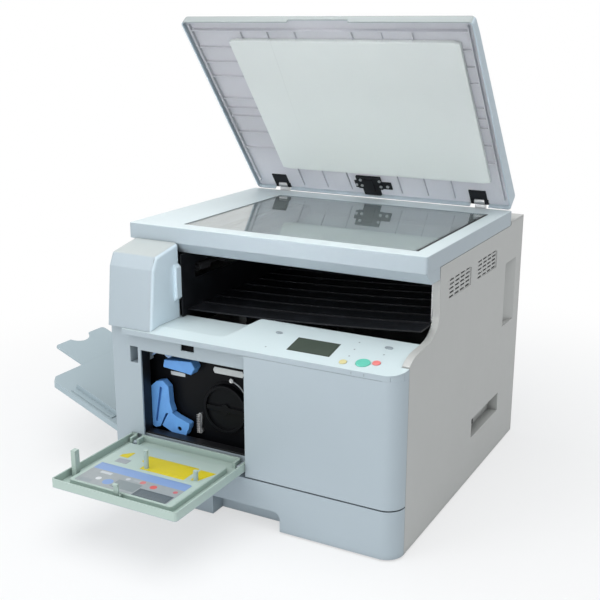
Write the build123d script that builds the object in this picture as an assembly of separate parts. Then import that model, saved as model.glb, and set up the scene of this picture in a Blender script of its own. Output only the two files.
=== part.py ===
from build123d import *
import math
import os

# A desktop A3 multifunction printer, drawn with its platen cover raised, front door down and feed tray open.
# Sub-parts are drawn with X from the left cover, Y from the front face and Z from the floor, in millimetres.
# The export moves them so that the origin lies on the floor under the centre of the body.

# Paper and the body round it
PAPER_X0 = 50.0
PAPER_L = 420.0
PAPER_W = 297.0
END_ROOM = 74.0
BODY_W = PAPER_X0 + PAPER_L + END_ROOM
BODY_D = 589.0
FOOT_H = 3.0
FOOT_D = 26.0
FOOT_INSET = 45.0
FOOT_EDGE = 1.0
FOOT_TAPER = 1.5
WALL = 2.5
SHEET = 2.0
SEAM = 0.8
RUN = 0.3
SHAFT_PLAY = 0.05
PAST = 1.0
CORNER_R = 30.0
SETBACK = 15.0
SIDE_START = CORNER_R + SEAM
FRAME_INSET = 16.0
FRAME_REAR_GAP = 3.0
BACK_Y = BODY_D - WALL

# Heights of the storeys
DRAWER_TOP = 84.0
DECK_T = SHEET
SCANNER_Z = 420.0
SCANNER_SEAM_Z = 440.0
SCANNER_TOP = 467.0
REAR_TOP = 447.0

# Scanner
SCANNER_Y0 = 88.0
SCANNER_Y1 = 510.0
SCANNER_OVERHANG = 9.6
SCANNER_CHAMFER = 20.0
SCANNER_EDGE_R = 4.0
SCANNER_FLOOR_T = 3.0
GLASS_X0 = 85.0
GLASS_X1 = BODY_W - 32.0
GLASS_Y0 = 118.0
GLASS_Y1 = 455.0
GLASS_T = 4.0
GLASS_SINK = 1.0
GLASS_LEDGE = 6.0
GLASS_BEVEL = 0.5
GASKET_W = 5.0

# Carriage, its rod and its belt
RAIL_R = 4.0
RAIL_Y = 150.0
RAIL_PAST_LEFT = 40.0
RAIL_PAST_RIGHT = 12.0
RAIL_BLOCK_X = 6.0
RAIL_BLOCK_Y = 18.0
RAIL_CAP = 2.0
CARRIAGE_X = 110.0
CARRIAGE_W = 46.0
CARRIAGE_H = 22.0
CARRIAGE_END = 8.0
CARRIAGE_BEVEL = 4.0
LAMP_SLOT = (16.0, 26.0)
LAMP_SLOT_END = 10.0
BELT_Y = 180.0
BELT_X0 = 50.0
BELT_T = 1.0
BELT_W = 4.0
PULLEY_R = 6.0
PULLEY_H = 5.5

# Platen cover, measured on the closed cover
COVER_AXIS_Y = 511.5
COVER_AXIS_Z = 480.0
COVER_OPEN = 51.66
COVER_X0 = 3.2
COVER_LENGTH = 419.5
COVER_TAIL = 4.5
COVER_GAP = 1.2
COVER_FRONT_H = 17.0
COVER_REAR_H = 33.0
COVER_EDGE_R = 8.0
LINER_DEPTH = 8.0
LINER_T = 2.0
RIB_T = 2.0
REAR_RIBS = 9
PAD_X0 = 87.0
PAD_X1 = BODY_W - 29.0
PAD_S0 = 61.0
PAD_S1 = COVER_LENGTH - 41.0
PAD_LIFT = 0.5
PAD_CORNER = 3.0
PAD_BEVEL = 1.0
FRONT_GROOVE_S = COVER_LENGTH - 22.5
SIDE_RIBS_S = tuple(PAD_S1 - step for step in (19.5, 53.5, 87.5, 141.5, 165.5, 186.5, 228.5, 270.5))
GRIP_X0 = BODY_W / 2 - 53.0
GRIP_X1 = BODY_W / 2 + 60.0

# Centre bracket of the platen cover
BRACKET_X0 = BODY_W / 2 - 39.0
BRACKET_X1 = BODY_W / 2 + 38.0
BRACKET_S0 = 16.0
BRACKET_S1 = 48.0
BRACKET_T = 4.5
BRACKET_CLEAR = 4.0
BRACKET_TAB = (BODY_W / 2 - 24.0, BODY_W / 2 + 11.0)
BRACKET_FLANK = 8.0
BRACKET_STEP = 14.0
BRACKET_PAD = (9.0, 6.0, 2.0)
BRACKET_SCREWS = ((-23.0, 40.0), (-23.0, 25.0), (17.0, 40.0), (17.0, 25.0), (-35.4, 24.0), (30.0, 24.0))
SCREW_R = 3.0
SCREW_HEAD = 1.5

# Hinges of the platen cover
HINGE_PIN_R = 3.0
HINGE_KNUCKLE_R = 6.5
HINGE_KNUCKLE_W = 20.0
HINGE_EAR_W = 6.0
HINGE_POST_T = 8.0
HINGE_FOOT = 8.0
HINGE_FOOT_T = 3.0
HINGE_LEAF = 24.0
HINGE_LEAF_T = 2.0
HINGE_INSET = 62.0
HINGE_ROOM = 2.0

# Control panel
PANEL_LIP_H = 9.0
PANEL_RISE = 0.2
PANEL_D = 103.0
PANEL_X0 = 34.0
PANEL_STRIP = 12.0
PANEL_T = 2.5
SCOOP_Z = 309.5
SCOOP_X1 = 212.0
SCOOP_RAMP = 46.0
LCD_X = BODY_W - 167.5
LCD_Y = 45.0
LCD_W = 75.0
LCD_H = 42.0
LCD_T = 1.6
LCD_PROUD = 0.3
KEY_PROUD = 1.5
KEY_FLANGE = 1.0
KEY_DEPTH = 2.0
KEY_TRAVEL = 0.8
# Keys as (x, y, half width, half height)
KEYS = {
    "start_key": (BODY_W - 72.6, 24.0, 11.5, 11.5),
    "stop_key": (BODY_W - 53.0, 30.0, 6.5, 6.5),
    "reset_key": (BODY_W - 103.0, 17.5, 6.0, 6.0),
    "energy_key": (BODY_W - 54.0, 78.0, 6.5, 3.5),
    "left_key": (BODY_W - 243.0, 69.0, 6.0, 3.0),
}
LAMPS = (
    (BODY_W - 102.0, 37.0),
    (BODY_W - 103.0, 58.0),
    (BODY_W - 105.0, 80.0),
    (BODY_W - 53.0, 57.0),
    (BODY_W - 241.0, 22.0),
)
LAMP_R = 1.4
LAMP_T = 1.2
LAMP_PROUD = 0.2
TICKS_X = (BODY_W - 81.0, BODY_W - 60.0)
TICK_W = 1.2

# Delivery column, cavity and exit
COLUMN_W = 92.0
COLUMN_FRONT_R = 22.0
COLUMN_EDGE_R = 7.0
COLUMN_TOP_FRONT = 429.5
COLUMN_LEAN = 12.0
LUG_W = 6.0
LUG_Y0 = 74.0
LUG_Z0 = 342.0
LUG_Z1 = 405.0
CAVITY_FLOOR_Z = 322.0
CAVITY_BACK_Y = 480.0
CAVITY_DROP = 34.0
TRAY_KNEE = 3.0
TRAY_HIGH_Z = 346.0
TRAY_RIBS = 7
RIDGE_H = 2.5
EXIT_Y0 = 130.0
EXIT_Y1 = 450.0
EXIT_Z = 385.0
EXIT_H = 26.0
ROLL_R = 8.0
ROLL_GAP = 2.0
ROLL_SHAFT_R = 3.0
ROLL_SHAFT_PAST = 8.0
ROLL_COUNT = 4
ROLL_L = 30.0
BEARING_T = 4.0
BEARING_GAP = 2.0

# Vents, grip pocket and switch recess of the right cover
VENT_Y = (188.0, 327.0)
VENT_LENGTH = 105.0
VENT_Z0 = 377.0
VENT_H = 31.0
VENT_COLS = 4
VENT_ROWS = 5
SLOT_L = 20.0
SLOT_H = 3.2
SLOT_PITCH_Y = 26.0
SLOT_PITCH_Z = 7.0
SLOT_STAGGER = 2.0
VENT_SINK = 1.25
POCKET_Y0 = 489.0
POCKET_Y1 = 555.0
POCKET_Z0 = 249.0
POCKET_Z1 = 371.0
POCKET_DEPTH = 18.0
RECESS_Y0 = 334.0
RECESS_Y1 = 485.0
RECESS_Z0 = 82.0
RECESS_Z1 = 118.0
RECESS_DEPTH = 18.0
BEZEL_Y1 = 397.0
BEZEL_T = 3.0
ROCKER_Y = 352.0
ROCKER_W = 15.0
ROCKER_H = 22.0
ROCKER_PIN_R = 1.2
ROCKER_PIN_L = 2.0
ROCKER_BACK = 2.0
ROCKER_LOW = 3.0
ROCKER_HIGH = 5.5
ROCKER_SWING = 12.0
INLET_Y = 380.0
INLET_W = 22.0
INLET_H = 16.0
BLADE_PITCH = 5.0
BLADE_W = 1.6
BLADE_H = 6.0
BLADE_SINK = 0.5

# Maintenance door
DOOR_X0 = 34.0
DOOR_X1 = 274.0
DOOR_FOOT_GAP = 2.5
DOOR_H = 207.7
DOOR_T = 14.6
DOOR_AXIS_IN = 3.5
DOOR_AXIS_UP = 12.0
DOOR_PIN_R = 1.5
DOOR_EAR_R = 3.4
DOOR_EAR_W = 7.0
DOOR_EARS = (47.0, 258.0)
EAR_GAP = 1.5
RIM_T = 2.5
RIM_R = 5.0
TROUGH = 18.0
LINER_RISE = 9.5
LINER_BEVEL = 1.5
DOOR_POSTS = ((141.0, -86.0, 32.0), (235.0, -83.0, 16.0))
POST_R = 4.0
HOOK_X = 156.0
HOOK_W = 9.0
HOOK_REACH = 18.0
HOOK_H = 7.0
TAB_X = 46.0
TAB_W = 9.0
TAB_REACH = 36.0
TAB_H = 10.0
TAB_UP = 155.0

# Maintenance bay behind the door
BAY_X0 = 60.0
BAY_X1 = 300.0
BAY_Z0 = 114.0
BAY_Z1 = 268.0
BAY_TOP = 290.0
BAY_RETURN = 40.0
BAY_PLATE_Y = 60.0
BAY_FLANGE = 30.0
BAY_RIBS_Z = (14.0, 188.0)
BAY_RIB_IN = (24.0, 10.0)
BAY_RIB_OUT = 4.0
FRAME_STRIP_Y = 22.0
NOTCH_X0 = 38.0
NOTCH_X1 = 54.0
NOTCH_Z0 = 241.0
NOTCH_Z1 = 270.0
NOTCH_DEPTH = 40.0
CATCH_H = 16.0
CATCH_X0 = 144.0
CATCH_X1 = 170.0
CAP_X = 206.0
CAP_Z = 173.0
CAP_R = 42.0
CAP_Y = 47.0
CAP_EDGE_R = 2.0
CAP_RIM = 5.0
CAP_HUB_R = 9.0
CAP_WEB = 8.0
CAP_RING = (1.0, 4.0, 3.0)
CARTRIDGE_R = 38.0
CARTRIDGE_L = 380.0
CARTRIDGE_TRAVEL = 300.0
CRADLE_LEG = 20.0
LEVER_PIVOT = (117.0, 123.0)
LEVER_Y = (41.0, 54.0)
LEVER_BOSS_R = 16.0
LEVER_PIN_R = 4.0
LEVER_SHOULDER = 4.0
LEVER_PIN_SINK = 2.0
LEVER_SLOT_T = 5.0
LOCK_PIVOT = (98.0, 258.0)
LOCK_L = 34.0
LOCK_THINNER = 4.0
LOCK_SHOULDER = 2.0
# Outlines as (x, z)
GRIP_BLOCK = ((86.0, 231.0), (126.0, 228.0), (144.0, 226.0), (152.0, 239.0), (145.0, 250.0), (89.0, 245.0))
LEVER_GRIP = (
    (54.0, 121.0),
    (66.0, 116.0),
    (76.0, 120.0),
    (88.0, 146.0),
    (104.0, 150.0),
    (98.0, 166.0),
    (96.0, 196.0),
    (84.0, 206.0),
    (70.0, 202.0),
    (53.0, 186.0),
)
LEVER_SLOT = ((66.0, 128.0), (70.0, 128.0), (83.0, 192.0), (78.0, 194.0))
# Foot of the lever and the lock's finger, both measured from their pivots
LEVER_FOOT = ((-37.0, -1.0), (0.0, -16.0), (12.0, -8.0), (19.0, 3.0), (21.0, 13.0), (-5.0, 21.0), (-21.0, 29.0))
LOCK_UPPER = ((0.0, 3.0), (-LOCK_L / 2, 4.0), (-LOCK_L, -8.0))
LOCK_LOWER = ((-LOCK_L - 2.0, -11.0), (-LOCK_L / 2, -2.0), (0.0, -5.0))
SPRING_X = 150.0
SPRING_Z = (121.0, 150.0)
SPRING_R = (5.0, 3.5)
SPRING_OUT = (5.0, 4.0, 3.0)
SPRING_BLADE = ((-3.0, 120.0), (1.0, 118.0), (4.0, 148.0), (0.0, 150.0))
CLIP_X = 216.0
CLIP_Z = 224.0
CLIP_OUT = 5.0
CLIP_STEM_R = 2.0
CLIP_RING = (3.0, 1.2)

# Paper drawer
DRAWER_X0 = 14.0
DRAWER_TRAVEL = 380.0
TRAY_INSET = 30.0
TRAY_Z0 = 14.0
TRAY_Z1 = 76.0
TRAY_Y0 = 38.0
TRAY_Y1 = 540.0
TRAY_WALL = 2.0
RUNNER_W = 14.0
HAND_X0 = 210.0
HAND_X1 = 339.0
HAND_Z = 36.5
HAND_DEPTH = 30.0
LINK_X = (80.0, 200.0, BODY_W - 184.0, BODY_W - 74.0)
LINK_W = 20.0
SLIDE_SLOT = (40.0, 60.0, 6.0)
LIFT_X1 = 300.0
LIFT_T = 1.5
LIFT_RISE = 2.5
LIFT_IN = 4.0
LIFT_PIN_R = 2.0
LUG_T = 4.0
LIFT_LUG_X = 12.0
GUIDE_X0 = 150.0
GUIDE_X1 = 250.0
GUIDE_T = 2.0
GUIDE_H = 44.0
GUIDE_FOOT = 14.0
GUIDE_WEB = 3.0
GUIDE_WEB_X = (10.0, 12.0)
GUIDE_ROOM = 6.0
GUIDE_TRAVEL = 42.0
END_W = 56.0
END_FOOT = 26.0
END_WEB = (24.0, 4.0, 0.8)
END_WEB_IN = 6.0
END_TRAVEL = 150.0

# Left door and multi-purpose tray
LEFT_DOOR_Y0 = 50.0
LEFT_DOOR_Y1 = 478.0
LEFT_DOOR_Z0 = 38.0
LEFT_DOOR_Z1 = 396.0
LEFT_DOOR_OUT = 8.0
LEFT_DOOR_IN = 15.0
LEFT_EDGE_R = 3.0
LEFT_BACK_X = 2.3
LEFT_AXIS_X = -4.0
LEFT_AXIS_Y = 484.0
LEFT_PIN_R = 2.5
LEFT_KNUCKLE_R = 4.3
LEFT_KNUCKLE_H = 20.0
LEFT_ARM_T = 4.0
LEFT_KNUCKLES_UP = (30.0, 308.0)
LEFT_EAR_T = 4.0
LEFT_EAR_Y = (3.0, 12.0)
LEFT_LEAF_Y = 24.0
LEFT_LEAF_T = 2.0
WELL_Z0 = 62.0
WELL_DEEP_Z = 95.0
WELL_Z1 = 292.0
WELL_GAP = 1.5
WELL_BACK_X = 0.3
MP_Y0 = 60.0
MP_Y1 = 397.0
MP_AXIS_X = -3.0
MP_AXIS_Z = 75.0
MP_TILT = 22.1
MP_LENGTH = 205.0
MP_T = 11.0
MP_TOP = 2.0
MP_CORNER = 14.0
MP_PIN_R = 2.0
MP_PIN_L = 3.5
MP_PIN_PLAY = 0.5
MP_RAIL_IN = 2.0
EXT_Y0 = 155.0
EXT_Y1 = 302.0
EXT_OUT = 76.0
EXT_T = 3.0
EXT_HOLD = 88.0
EXT_CORNER = 8.0
EXT_NOTCH_R = 32.0
MP_GUIDE_X = (-160.0, -60.0)
MP_GUIDE_H = 10.0
MP_GUIDE_IN = 20.0
MP_GUIDE_FOOT = 14.0
MP_GUIDE_TRAVEL = 60.0

# Values that follow from the sizes above
DOOR_BOTTOM = DRAWER_TOP + DOOR_FOOT_GAP
DOOR_AXIS_Y = DOOR_AXIS_IN
DOOR_AXIS_Z = DOOR_BOTTOM + DOOR_AXIS_UP
DOOR_TOP = DOOR_BOTTOM + DOOR_H
PANEL_LIP_Z = DOOR_TOP + SEAM
PANEL_Z = PANEL_LIP_Z + PANEL_LIP_H
PANEL_TILT = math.degrees(math.atan(PANEL_RISE))
PANEL_X1 = BODY_W - PANEL_STRIP
DECK_Z = DRAWER_TOP + DECK_T
COVER_X1 = BODY_W
COVER_Z = SCANNER_TOP + COVER_GAP
COVER_Y0 = COVER_AXIS_Y - COVER_LENGTH
COVER_Y1 = COVER_AXIS_Y + COVER_TAIL
LINER_Z = COVER_Z + LINER_DEPTH
HINGES_X = (HINGE_INSET, BODY_W - HINGE_INSET)
FRONT_COVER_X0 = DOOR_X1 + SEAM
SIDE_END = BACK_Y - RUN
FRAME_X0 = FRAME_INSET
FRAME_X1 = BODY_W - FRAME_INSET
FRAME_BACK = BACK_Y - FRAME_REAR_GAP
CUT_X1 = BODY_W - WALL
COLUMN_WALL_Y = SCANNER_Y0 - SEAM
CAVITY_X0 = COLUMN_W + LUG_W + SEAM
EXIT_WALL_X = CAVITY_X0 - SEAM - WALL
ROLL_X = EXIT_WALL_X - ROLL_R - ROLL_GAP
RAIL_Z = SCANNER_Z + SCANNER_FLOOR_T + 3 * RAIL_R
TRAY_MID_Y = (TRAY_Y0 + TRAY_Y1) / 2
LIFT_Z = TRAY_Z0 + TRAY_WALL + LIFT_RISE
LIFT_HALF = PAPER_W / 2 - LIFT_IN
LEFT_SKIN_X = -LEFT_DOOR_OUT
EXT_WELL_X = MP_AXIS_X - 0.4
EXT_WELL_Z1 = MP_AXIS_Z + MP_LENGTH + EXT_OUT + WELL_GAP

# Upper front outline of the right cover as (y, z), from the scanner down to the control panel
CUT_PROFILE = (
    (146.0, SCANNER_SEAM_Z - SEAM),
    (148.0, 372.0),
    (146.5, 350.0),
    (133.0, 335.0),
    (96.0, 325.5),
    (SIDE_START, PANEL_Z + SIDE_START * PANEL_RISE + 2.0),
)


def block(x0, x1, y0, y1, z0, z1):
    """A plain block between two corners."""
    return Pos((x0 + x1) / 2, (y0 + y1) / 2, (z0 + z1) / 2) * Box(x1 - x0, y1 - y0, z1 - z0)


def across(points, x0, x1, radius=0.0):
    """A (y, z) outline carried from x0 to x1, its corners rounded by radius."""
    face = make_face(Polyline(*points, close=True))
    if radius:
        face = fillet(face.vertices(), radius)
    return extrude(Plane.YZ.offset(x0) * face, x1 - x0)


def deep(points, y0, y1, radius=0.0):
    """An (x, z) outline carried from y0 back to y1, its corners rounded by radius."""
    face = make_face(Polyline(*points, close=True))
    if radius:
        face = fillet(face.vertices(), radius)
    return extrude(Plane.XZ.offset(-y1) * face, y1 - y0)


def rod_x(x0, x1, y, z, radius):
    """A round bar along X."""
    return Pos((x0 + x1) / 2, y, z) * Rot(0, 90, 0) * Cylinder(radius, x1 - x0)


def rod_y(x, y0, y1, z, radius):
    """A round bar along Y."""
    return Pos(x, (y0 + y1) / 2, z) * Rot(90, 0, 0) * Cylinder(radius, y1 - y0)


def rod_z(x, y, z0, z1, radius):
    """A round bar along Z."""
    return Pos(x, y, (z0 + z1) / 2) * Cylinder(radius, z1 - z0)


def turned_x(shape, angle, y, z):
    """A shape turned about an axis along X through (y, z)."""
    return Pos(0, y, z) * Rot(angle, 0, 0) * Pos(0, -y, -z) * shape


def turned_y(shape, angle, x, z):
    """A shape turned about an axis along Y through (x, z)."""
    return Pos(x, 0, z) * Rot(0, angle, 0) * Pos(-x, 0, -z) * shape


def corner_plan(x0, inner):
    """A front shell's plan: straight along the front face, then round the right-hand corner."""
    outer_r = CORNER_R
    inner_r = CORNER_R - inner
    centre = BODY_W - CORNER_R
    bend = math.sqrt(0.5)
    outline = [
        Line((x0, 0), (centre, 0)),
        ThreePointArc((centre, 0), (centre + outer_r * bend, outer_r * (1 - bend)), (BODY_W, outer_r)),
        Line((BODY_W, outer_r), (BODY_W - inner, outer_r)),
        ThreePointArc(
            (BODY_W - inner, outer_r),
            (centre + inner_r * bend, outer_r - inner_r * bend),
            (centre, inner),
        ),
        Line((centre, inner), (x0, inner)),
        Line((x0, inner), (x0, 0)),
    ]
    return make_face(outline)


def upright_shell(x0, inner, z0, z1):
    """The front shell's wall between two heights."""
    return extrude(Plane.XY.offset(z0) * corner_plan(x0, inner), z1 - z0)


def panel_place():
    """The sloping plane of the control panel, with its own Y up the slope."""
    return Location((0, 0, PANEL_Z), (PANEL_TILT, 0, 0))


def slope_y(y):
    """Distance up the panel's slope of a point y behind the front face."""
    return y / math.cos(math.radians(PANEL_TILT))


def rubber_feet():
    """Four turned feet under the base."""
    edge = FOOT_D / 2
    profile = Polyline(
        (0, 0), (edge - FOOT_EDGE, 0), (edge, FOOT_EDGE), (edge - FOOT_TAPER, FOOT_H), (0, FOOT_H), close=True
    )
    foot = revolve(Plane.XZ * make_face(profile), Axis.Z)
    rows = (FOOT_INSET + SIDE_START, BODY_D - FOOT_INSET)
    return Compound([Pos(x, y, 0) * foot for x in (FOOT_INSET, BODY_W - FOOT_INSET) for y in rows])


def base_pan():
    """Pressed base, open to the front, with a runner and a guard ledge on each side for the drawer."""
    x0, x1 = WALL + RUN, BODY_W - WALL - RUN
    y0 = SIDE_START + HAND_DEPTH / 4
    pan = block(x0, x1, y0, FRAME_BACK, FOOT_H, DRAWER_TOP)
    pan -= block(x0 + SHEET, x1 - SHEET, y0 - PAST, FRAME_BACK - SHEET, FOOT_H + SHEET, DRAWER_TOP + PAST)
    run_z = TRAY_Z0 - RUN
    for low, high in ((x0 + SHEET, TRAY_INSET + RUNNER_W), (BODY_W - TRAY_INSET - RUNNER_W, x1 - SHEET)):
        pan += block(low, high, y0 + WALL, FRAME_BACK - SHEET, FOOT_H + SHEET, run_z)
    for low, high in ((x0 + SHEET, TRAY_INSET - RUN), (BODY_W - TRAY_INSET + RUN, x1 - SHEET)):
        pan += block(low, high, y0 + WALL, FRAME_BACK - SHEET, run_z, run_z + TRAY_INSET / 2)
    for x in (BODY_W / 4, BODY_W / 2, BODY_W * 3 / 4):
        run_x = (x - RUNNER_W / 2, x + RUNNER_W / 2)
        pan += block(*run_x, y0 + WALL, FRAME_BACK - SHEET, FOOT_H + SHEET, FOOT_H + 2 * SHEET)
    return pan - recess_room()


def recess_room():
    """Room in the frame for the switch recess of the right cover."""
    x0 = BODY_W - RECESS_DEPTH - 2 * WALL - BEZEL_T - ROCKER_W
    room = WALL + RUN
    return block(x0, BODY_W, RECESS_Y0 - room, RECESS_Y1 + room, RECESS_Z0 - room, RECESS_Z1 + room)


def pocket_room():
    """Room in the frame for the grip pocket of the right cover."""
    x0 = BODY_W - POCKET_DEPTH - 2 * WALL
    room = WALL + RUN
    return block(x0, BODY_W, POCKET_Y0 - room, POCKET_Y1 + room, POCKET_Z0 - room, POCKET_Z1 + room)


def engine_deck():
    """Steel deck above the drawer; its front edge carries the opening frame."""
    deck = block(WALL + RUN, BODY_W - WALL - RUN, SIDE_START + HAND_DEPTH / 4, FRAME_BACK, DRAWER_TOP, DECK_Z)
    deck += block(BAY_X0, BODY_W - CORNER_R, FRAME_STRIP_Y, SIDE_START + HAND_DEPTH / 4, DRAWER_TOP, DECK_Z)
    return deck - recess_room()


def engine_frame():
    """Three-walled steel frame that carries the scanner; the left wall has the jam-access window."""
    y0 = BAY_PLATE_Y + SHEET
    frame = block(FRAME_X0, FRAME_X1, y0, FRAME_BACK, DECK_Z, SCANNER_Z)
    frame -= block(
        FRAME_X0 + SHEET, FRAME_X1 - SHEET, y0 - PAST, FRAME_BACK - SHEET, DECK_Z - PAST, SCANNER_Z + PAST
    )
    left_x = (FRAME_X0 - PAST, FRAME_X0 + SHEET + PAST)
    window_z = (DECK_Z + TRAY_INSET, SCANNER_Z - 2 * TRAY_INSET)
    frame -= block(*left_x, LEFT_DOOR_Y0, MP_Y1 + TRAY_INSET, *window_z)
    notch_z = (PANEL_LIP_Z - WALL, SCANNER_Z + PAST)
    notch_y = CUT_PROFILE[0][0] + PANEL_STRIP
    frame -= block(FRAME_X1 - SHEET - PAST, FRAME_X1 + PAST, y0 - PAST, notch_y, *notch_z)
    frame -= block(*left_x, y0 - PAST, SCANNER_Y0 + 2 * WALL, *notch_z)
    return frame - recess_room() - pocket_room()


def side_edge(inset):
    """The right cover's upper front edge as one smooth line, moved into the cover by inset."""
    top, *knots, foot = CUT_PROFILE
    shift = [(y + inset, z - inset) for y, z in knots]
    curve = Spline((top[0] + inset, shift[0][1] + CORNER_R), *shift, (foot[0] + inset, foot[1] - inset))
    return curve, (top[0] + inset, top[1]), (foot[0] + inset, foot[1] - inset)


def side_face(inset):
    """The side outline of the right cover, its upper front edge moved in by inset."""
    curve, top, foot = side_edge(inset)
    corners = [
        foot,
        (foot[0], FOOT_H),
        (SIDE_END, FOOT_H),
        (SIDE_END, REAR_TOP - WALL - RUN),
        (SCANNER_Y1 + SEAM, REAR_TOP - WALL - RUN),
        (SCANNER_Y1 + SEAM, top[1]),
        top,
        curve @ 0,
    ]
    return make_face([curve, *Polyline(*corners).edges()])


def right_cover():
    """Moulded right side with its curved upper edge, vent slots, grip pocket and switch recess."""
    outer = BODY_W - WALL
    cover = extrude(Plane.YZ.offset(outer) * side_face(0), WALL)
    band = Plane.YZ.offset(PANEL_X1) * (side_face(0) - side_face(WALL))
    edge = extrude(band, outer - PANEL_X1)
    edge_z = (CUT_PROFILE[-1][1] - 2 * WALL, SCANNER_Z - RUN)
    edge &= block(PANEL_X1, outer, SIDE_START, CUT_PROFILE[1][0] + WALL + PAST, *edge_z)
    cover += edge
    slot = Box(3 * WALL, SLOT_L, SLOT_H)
    for start in VENT_Y:
        end = start + VENT_LENGTH
        wedge = Polyline((BODY_W, start), (BODY_W - VENT_SINK, end), (BODY_W, end), close=True)
        cover -= Pos(0, 0, VENT_Z0) * extrude(make_face(wedge), VENT_H)
        for col in range(VENT_COLS):
            for row in range(VENT_ROWS):
                y = start + SLOT_L / 2 + col * SLOT_PITCH_Y + (row % 2) * SLOT_STAGGER
                cover -= Pos(outer + WALL / 2, y, VENT_Z0 + SLOT_H + row * SLOT_PITCH_Z) * slot
    cover -= block(outer - PAST, BODY_W + PAST, POCKET_Y0, POCKET_Y1, POCKET_Z0, POCKET_Z1)
    cover += grip_pocket()
    cover -= block(outer - PAST, BODY_W + PAST, RECESS_Y0, RECESS_Y1, RECESS_Z0, RECESS_Z1)
    cover += switch_recess()
    return cover


def wedge_pocket(grow):
    """The grip pocket's hollow: deep at the front, running out to the surface at the rear."""
    x0 = BODY_W - POCKET_DEPTH - grow
    y0, y1 = POCKET_Y0 - grow, POCKET_Y1 + grow
    plan = Polyline((BODY_W, y0), (x0, y0), (x0, y0 + POCKET_DEPTH), (BODY_W, y1 + grow), close=True)
    return Pos(0, 0, POCKET_Z0 - grow) * extrude(make_face(plan), POCKET_Z1 - POCKET_Z0 + 2 * grow)


def grip_pocket():
    """Moulded wall round the grip pocket."""
    return wedge_pocket(WALL) - wedge_pocket(0)


def switch_recess():
    """Moulded wall round the lower recess, open where the switch bezel stands."""
    x0 = BODY_W - RECESS_DEPTH
    wall_y, wall_z = (RECESS_Y0 - WALL, RECESS_Y1 + WALL), (RECESS_Z0 - WALL, RECESS_Z1 + WALL)
    wall = block(x0 - WALL, BODY_W - WALL / 2, *wall_y, *wall_z)
    wall -= block(x0, BODY_W + PAST, RECESS_Y0, RECESS_Y1, RECESS_Z0, RECESS_Z1)
    return wall - block(
        x0 - WALL - PAST, x0 + PAST, RECESS_Y0 + WALL, BEZEL_Y1, RECESS_Z0 + WALL, RECESS_Z1 - WALL
    )


def left_cover():
    """Moulded left side with the opening for the jam-access door."""
    outline = (
        (SETBACK, FOOT_H),
        (SIDE_END, FOOT_H),
        (SIDE_END, REAR_TOP - WALL - RUN),
        (SCANNER_Y1 + SEAM, REAR_TOP - WALL - RUN),
        (SCANNER_Y1 + SEAM, SCANNER_SEAM_Z - SEAM),
        (SCANNER_Y0 + SEAM, SCANNER_SEAM_Z - SEAM),
        (SCANNER_Y0 + SEAM, PANEL_Z + SEAM),
        (SIDE_START, PANEL_Z + SEAM),
        (SIDE_START, DRAWER_TOP + SEAM),
        (SETBACK, DRAWER_TOP + SEAM),
    )
    cover = across(outline, 0, WALL)
    cover += block(0, DRAWER_X0 - SEAM, SETBACK, SETBACK + WALL, FOOT_H, DRAWER_TOP)
    door_z = (LEFT_DOOR_Z0 - SEAM, LEFT_DOOR_Z1 + SEAM)
    cover -= block(-PAST, WALL + PAST, LEFT_DOOR_Y0 - SEAM, LEFT_AXIS_Y + 3 * WALL, *door_z)
    return cover


def rear_cover():
    """Back panel with louvres and the shelf that closes the body behind the scanner."""
    cover = block(0, BODY_W, BACK_Y, BODY_D, FOOT_H, REAR_TOP)
    cover += block(0, BODY_W, SCANNER_Y1 + SEAM, BACK_Y + PAST, REAR_TOP - WALL, REAR_TOP)
    for col in range(2):
        for row in range(2 * VENT_ROWS):
            x = BODY_W / 4 + col * BODY_W / 2
            z = POCKET_Z1 - row * 2 * SLOT_PITCH_Z
            cover -= block(x - 2 * SLOT_L, x + 2 * SLOT_L, BACK_Y - PAST, BODY_D + PAST, z, z + SLOT_H)
    return cover


def front_cover():
    """Fixed front cover that wraps the right corner, stiffened by a return beside the door."""
    z0, z1 = DOOR_BOTTOM, PANEL_LIP_Z - SEAM / 2
    cover = upright_shell(FRONT_COVER_X0, WALL, z0, z1)
    cover += block(FRONT_COVER_X0, FRONT_COVER_X0 + WALL, WALL, FRAME_STRIP_Y + WALL, z0, z1)
    for z in (z0, (z0 + z1) / 2, z1 - WALL):
        cover += block(FRONT_COVER_X0, BODY_W - CORNER_R, WALL, FRAME_STRIP_Y, z, z + WALL)
    return cover


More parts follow.
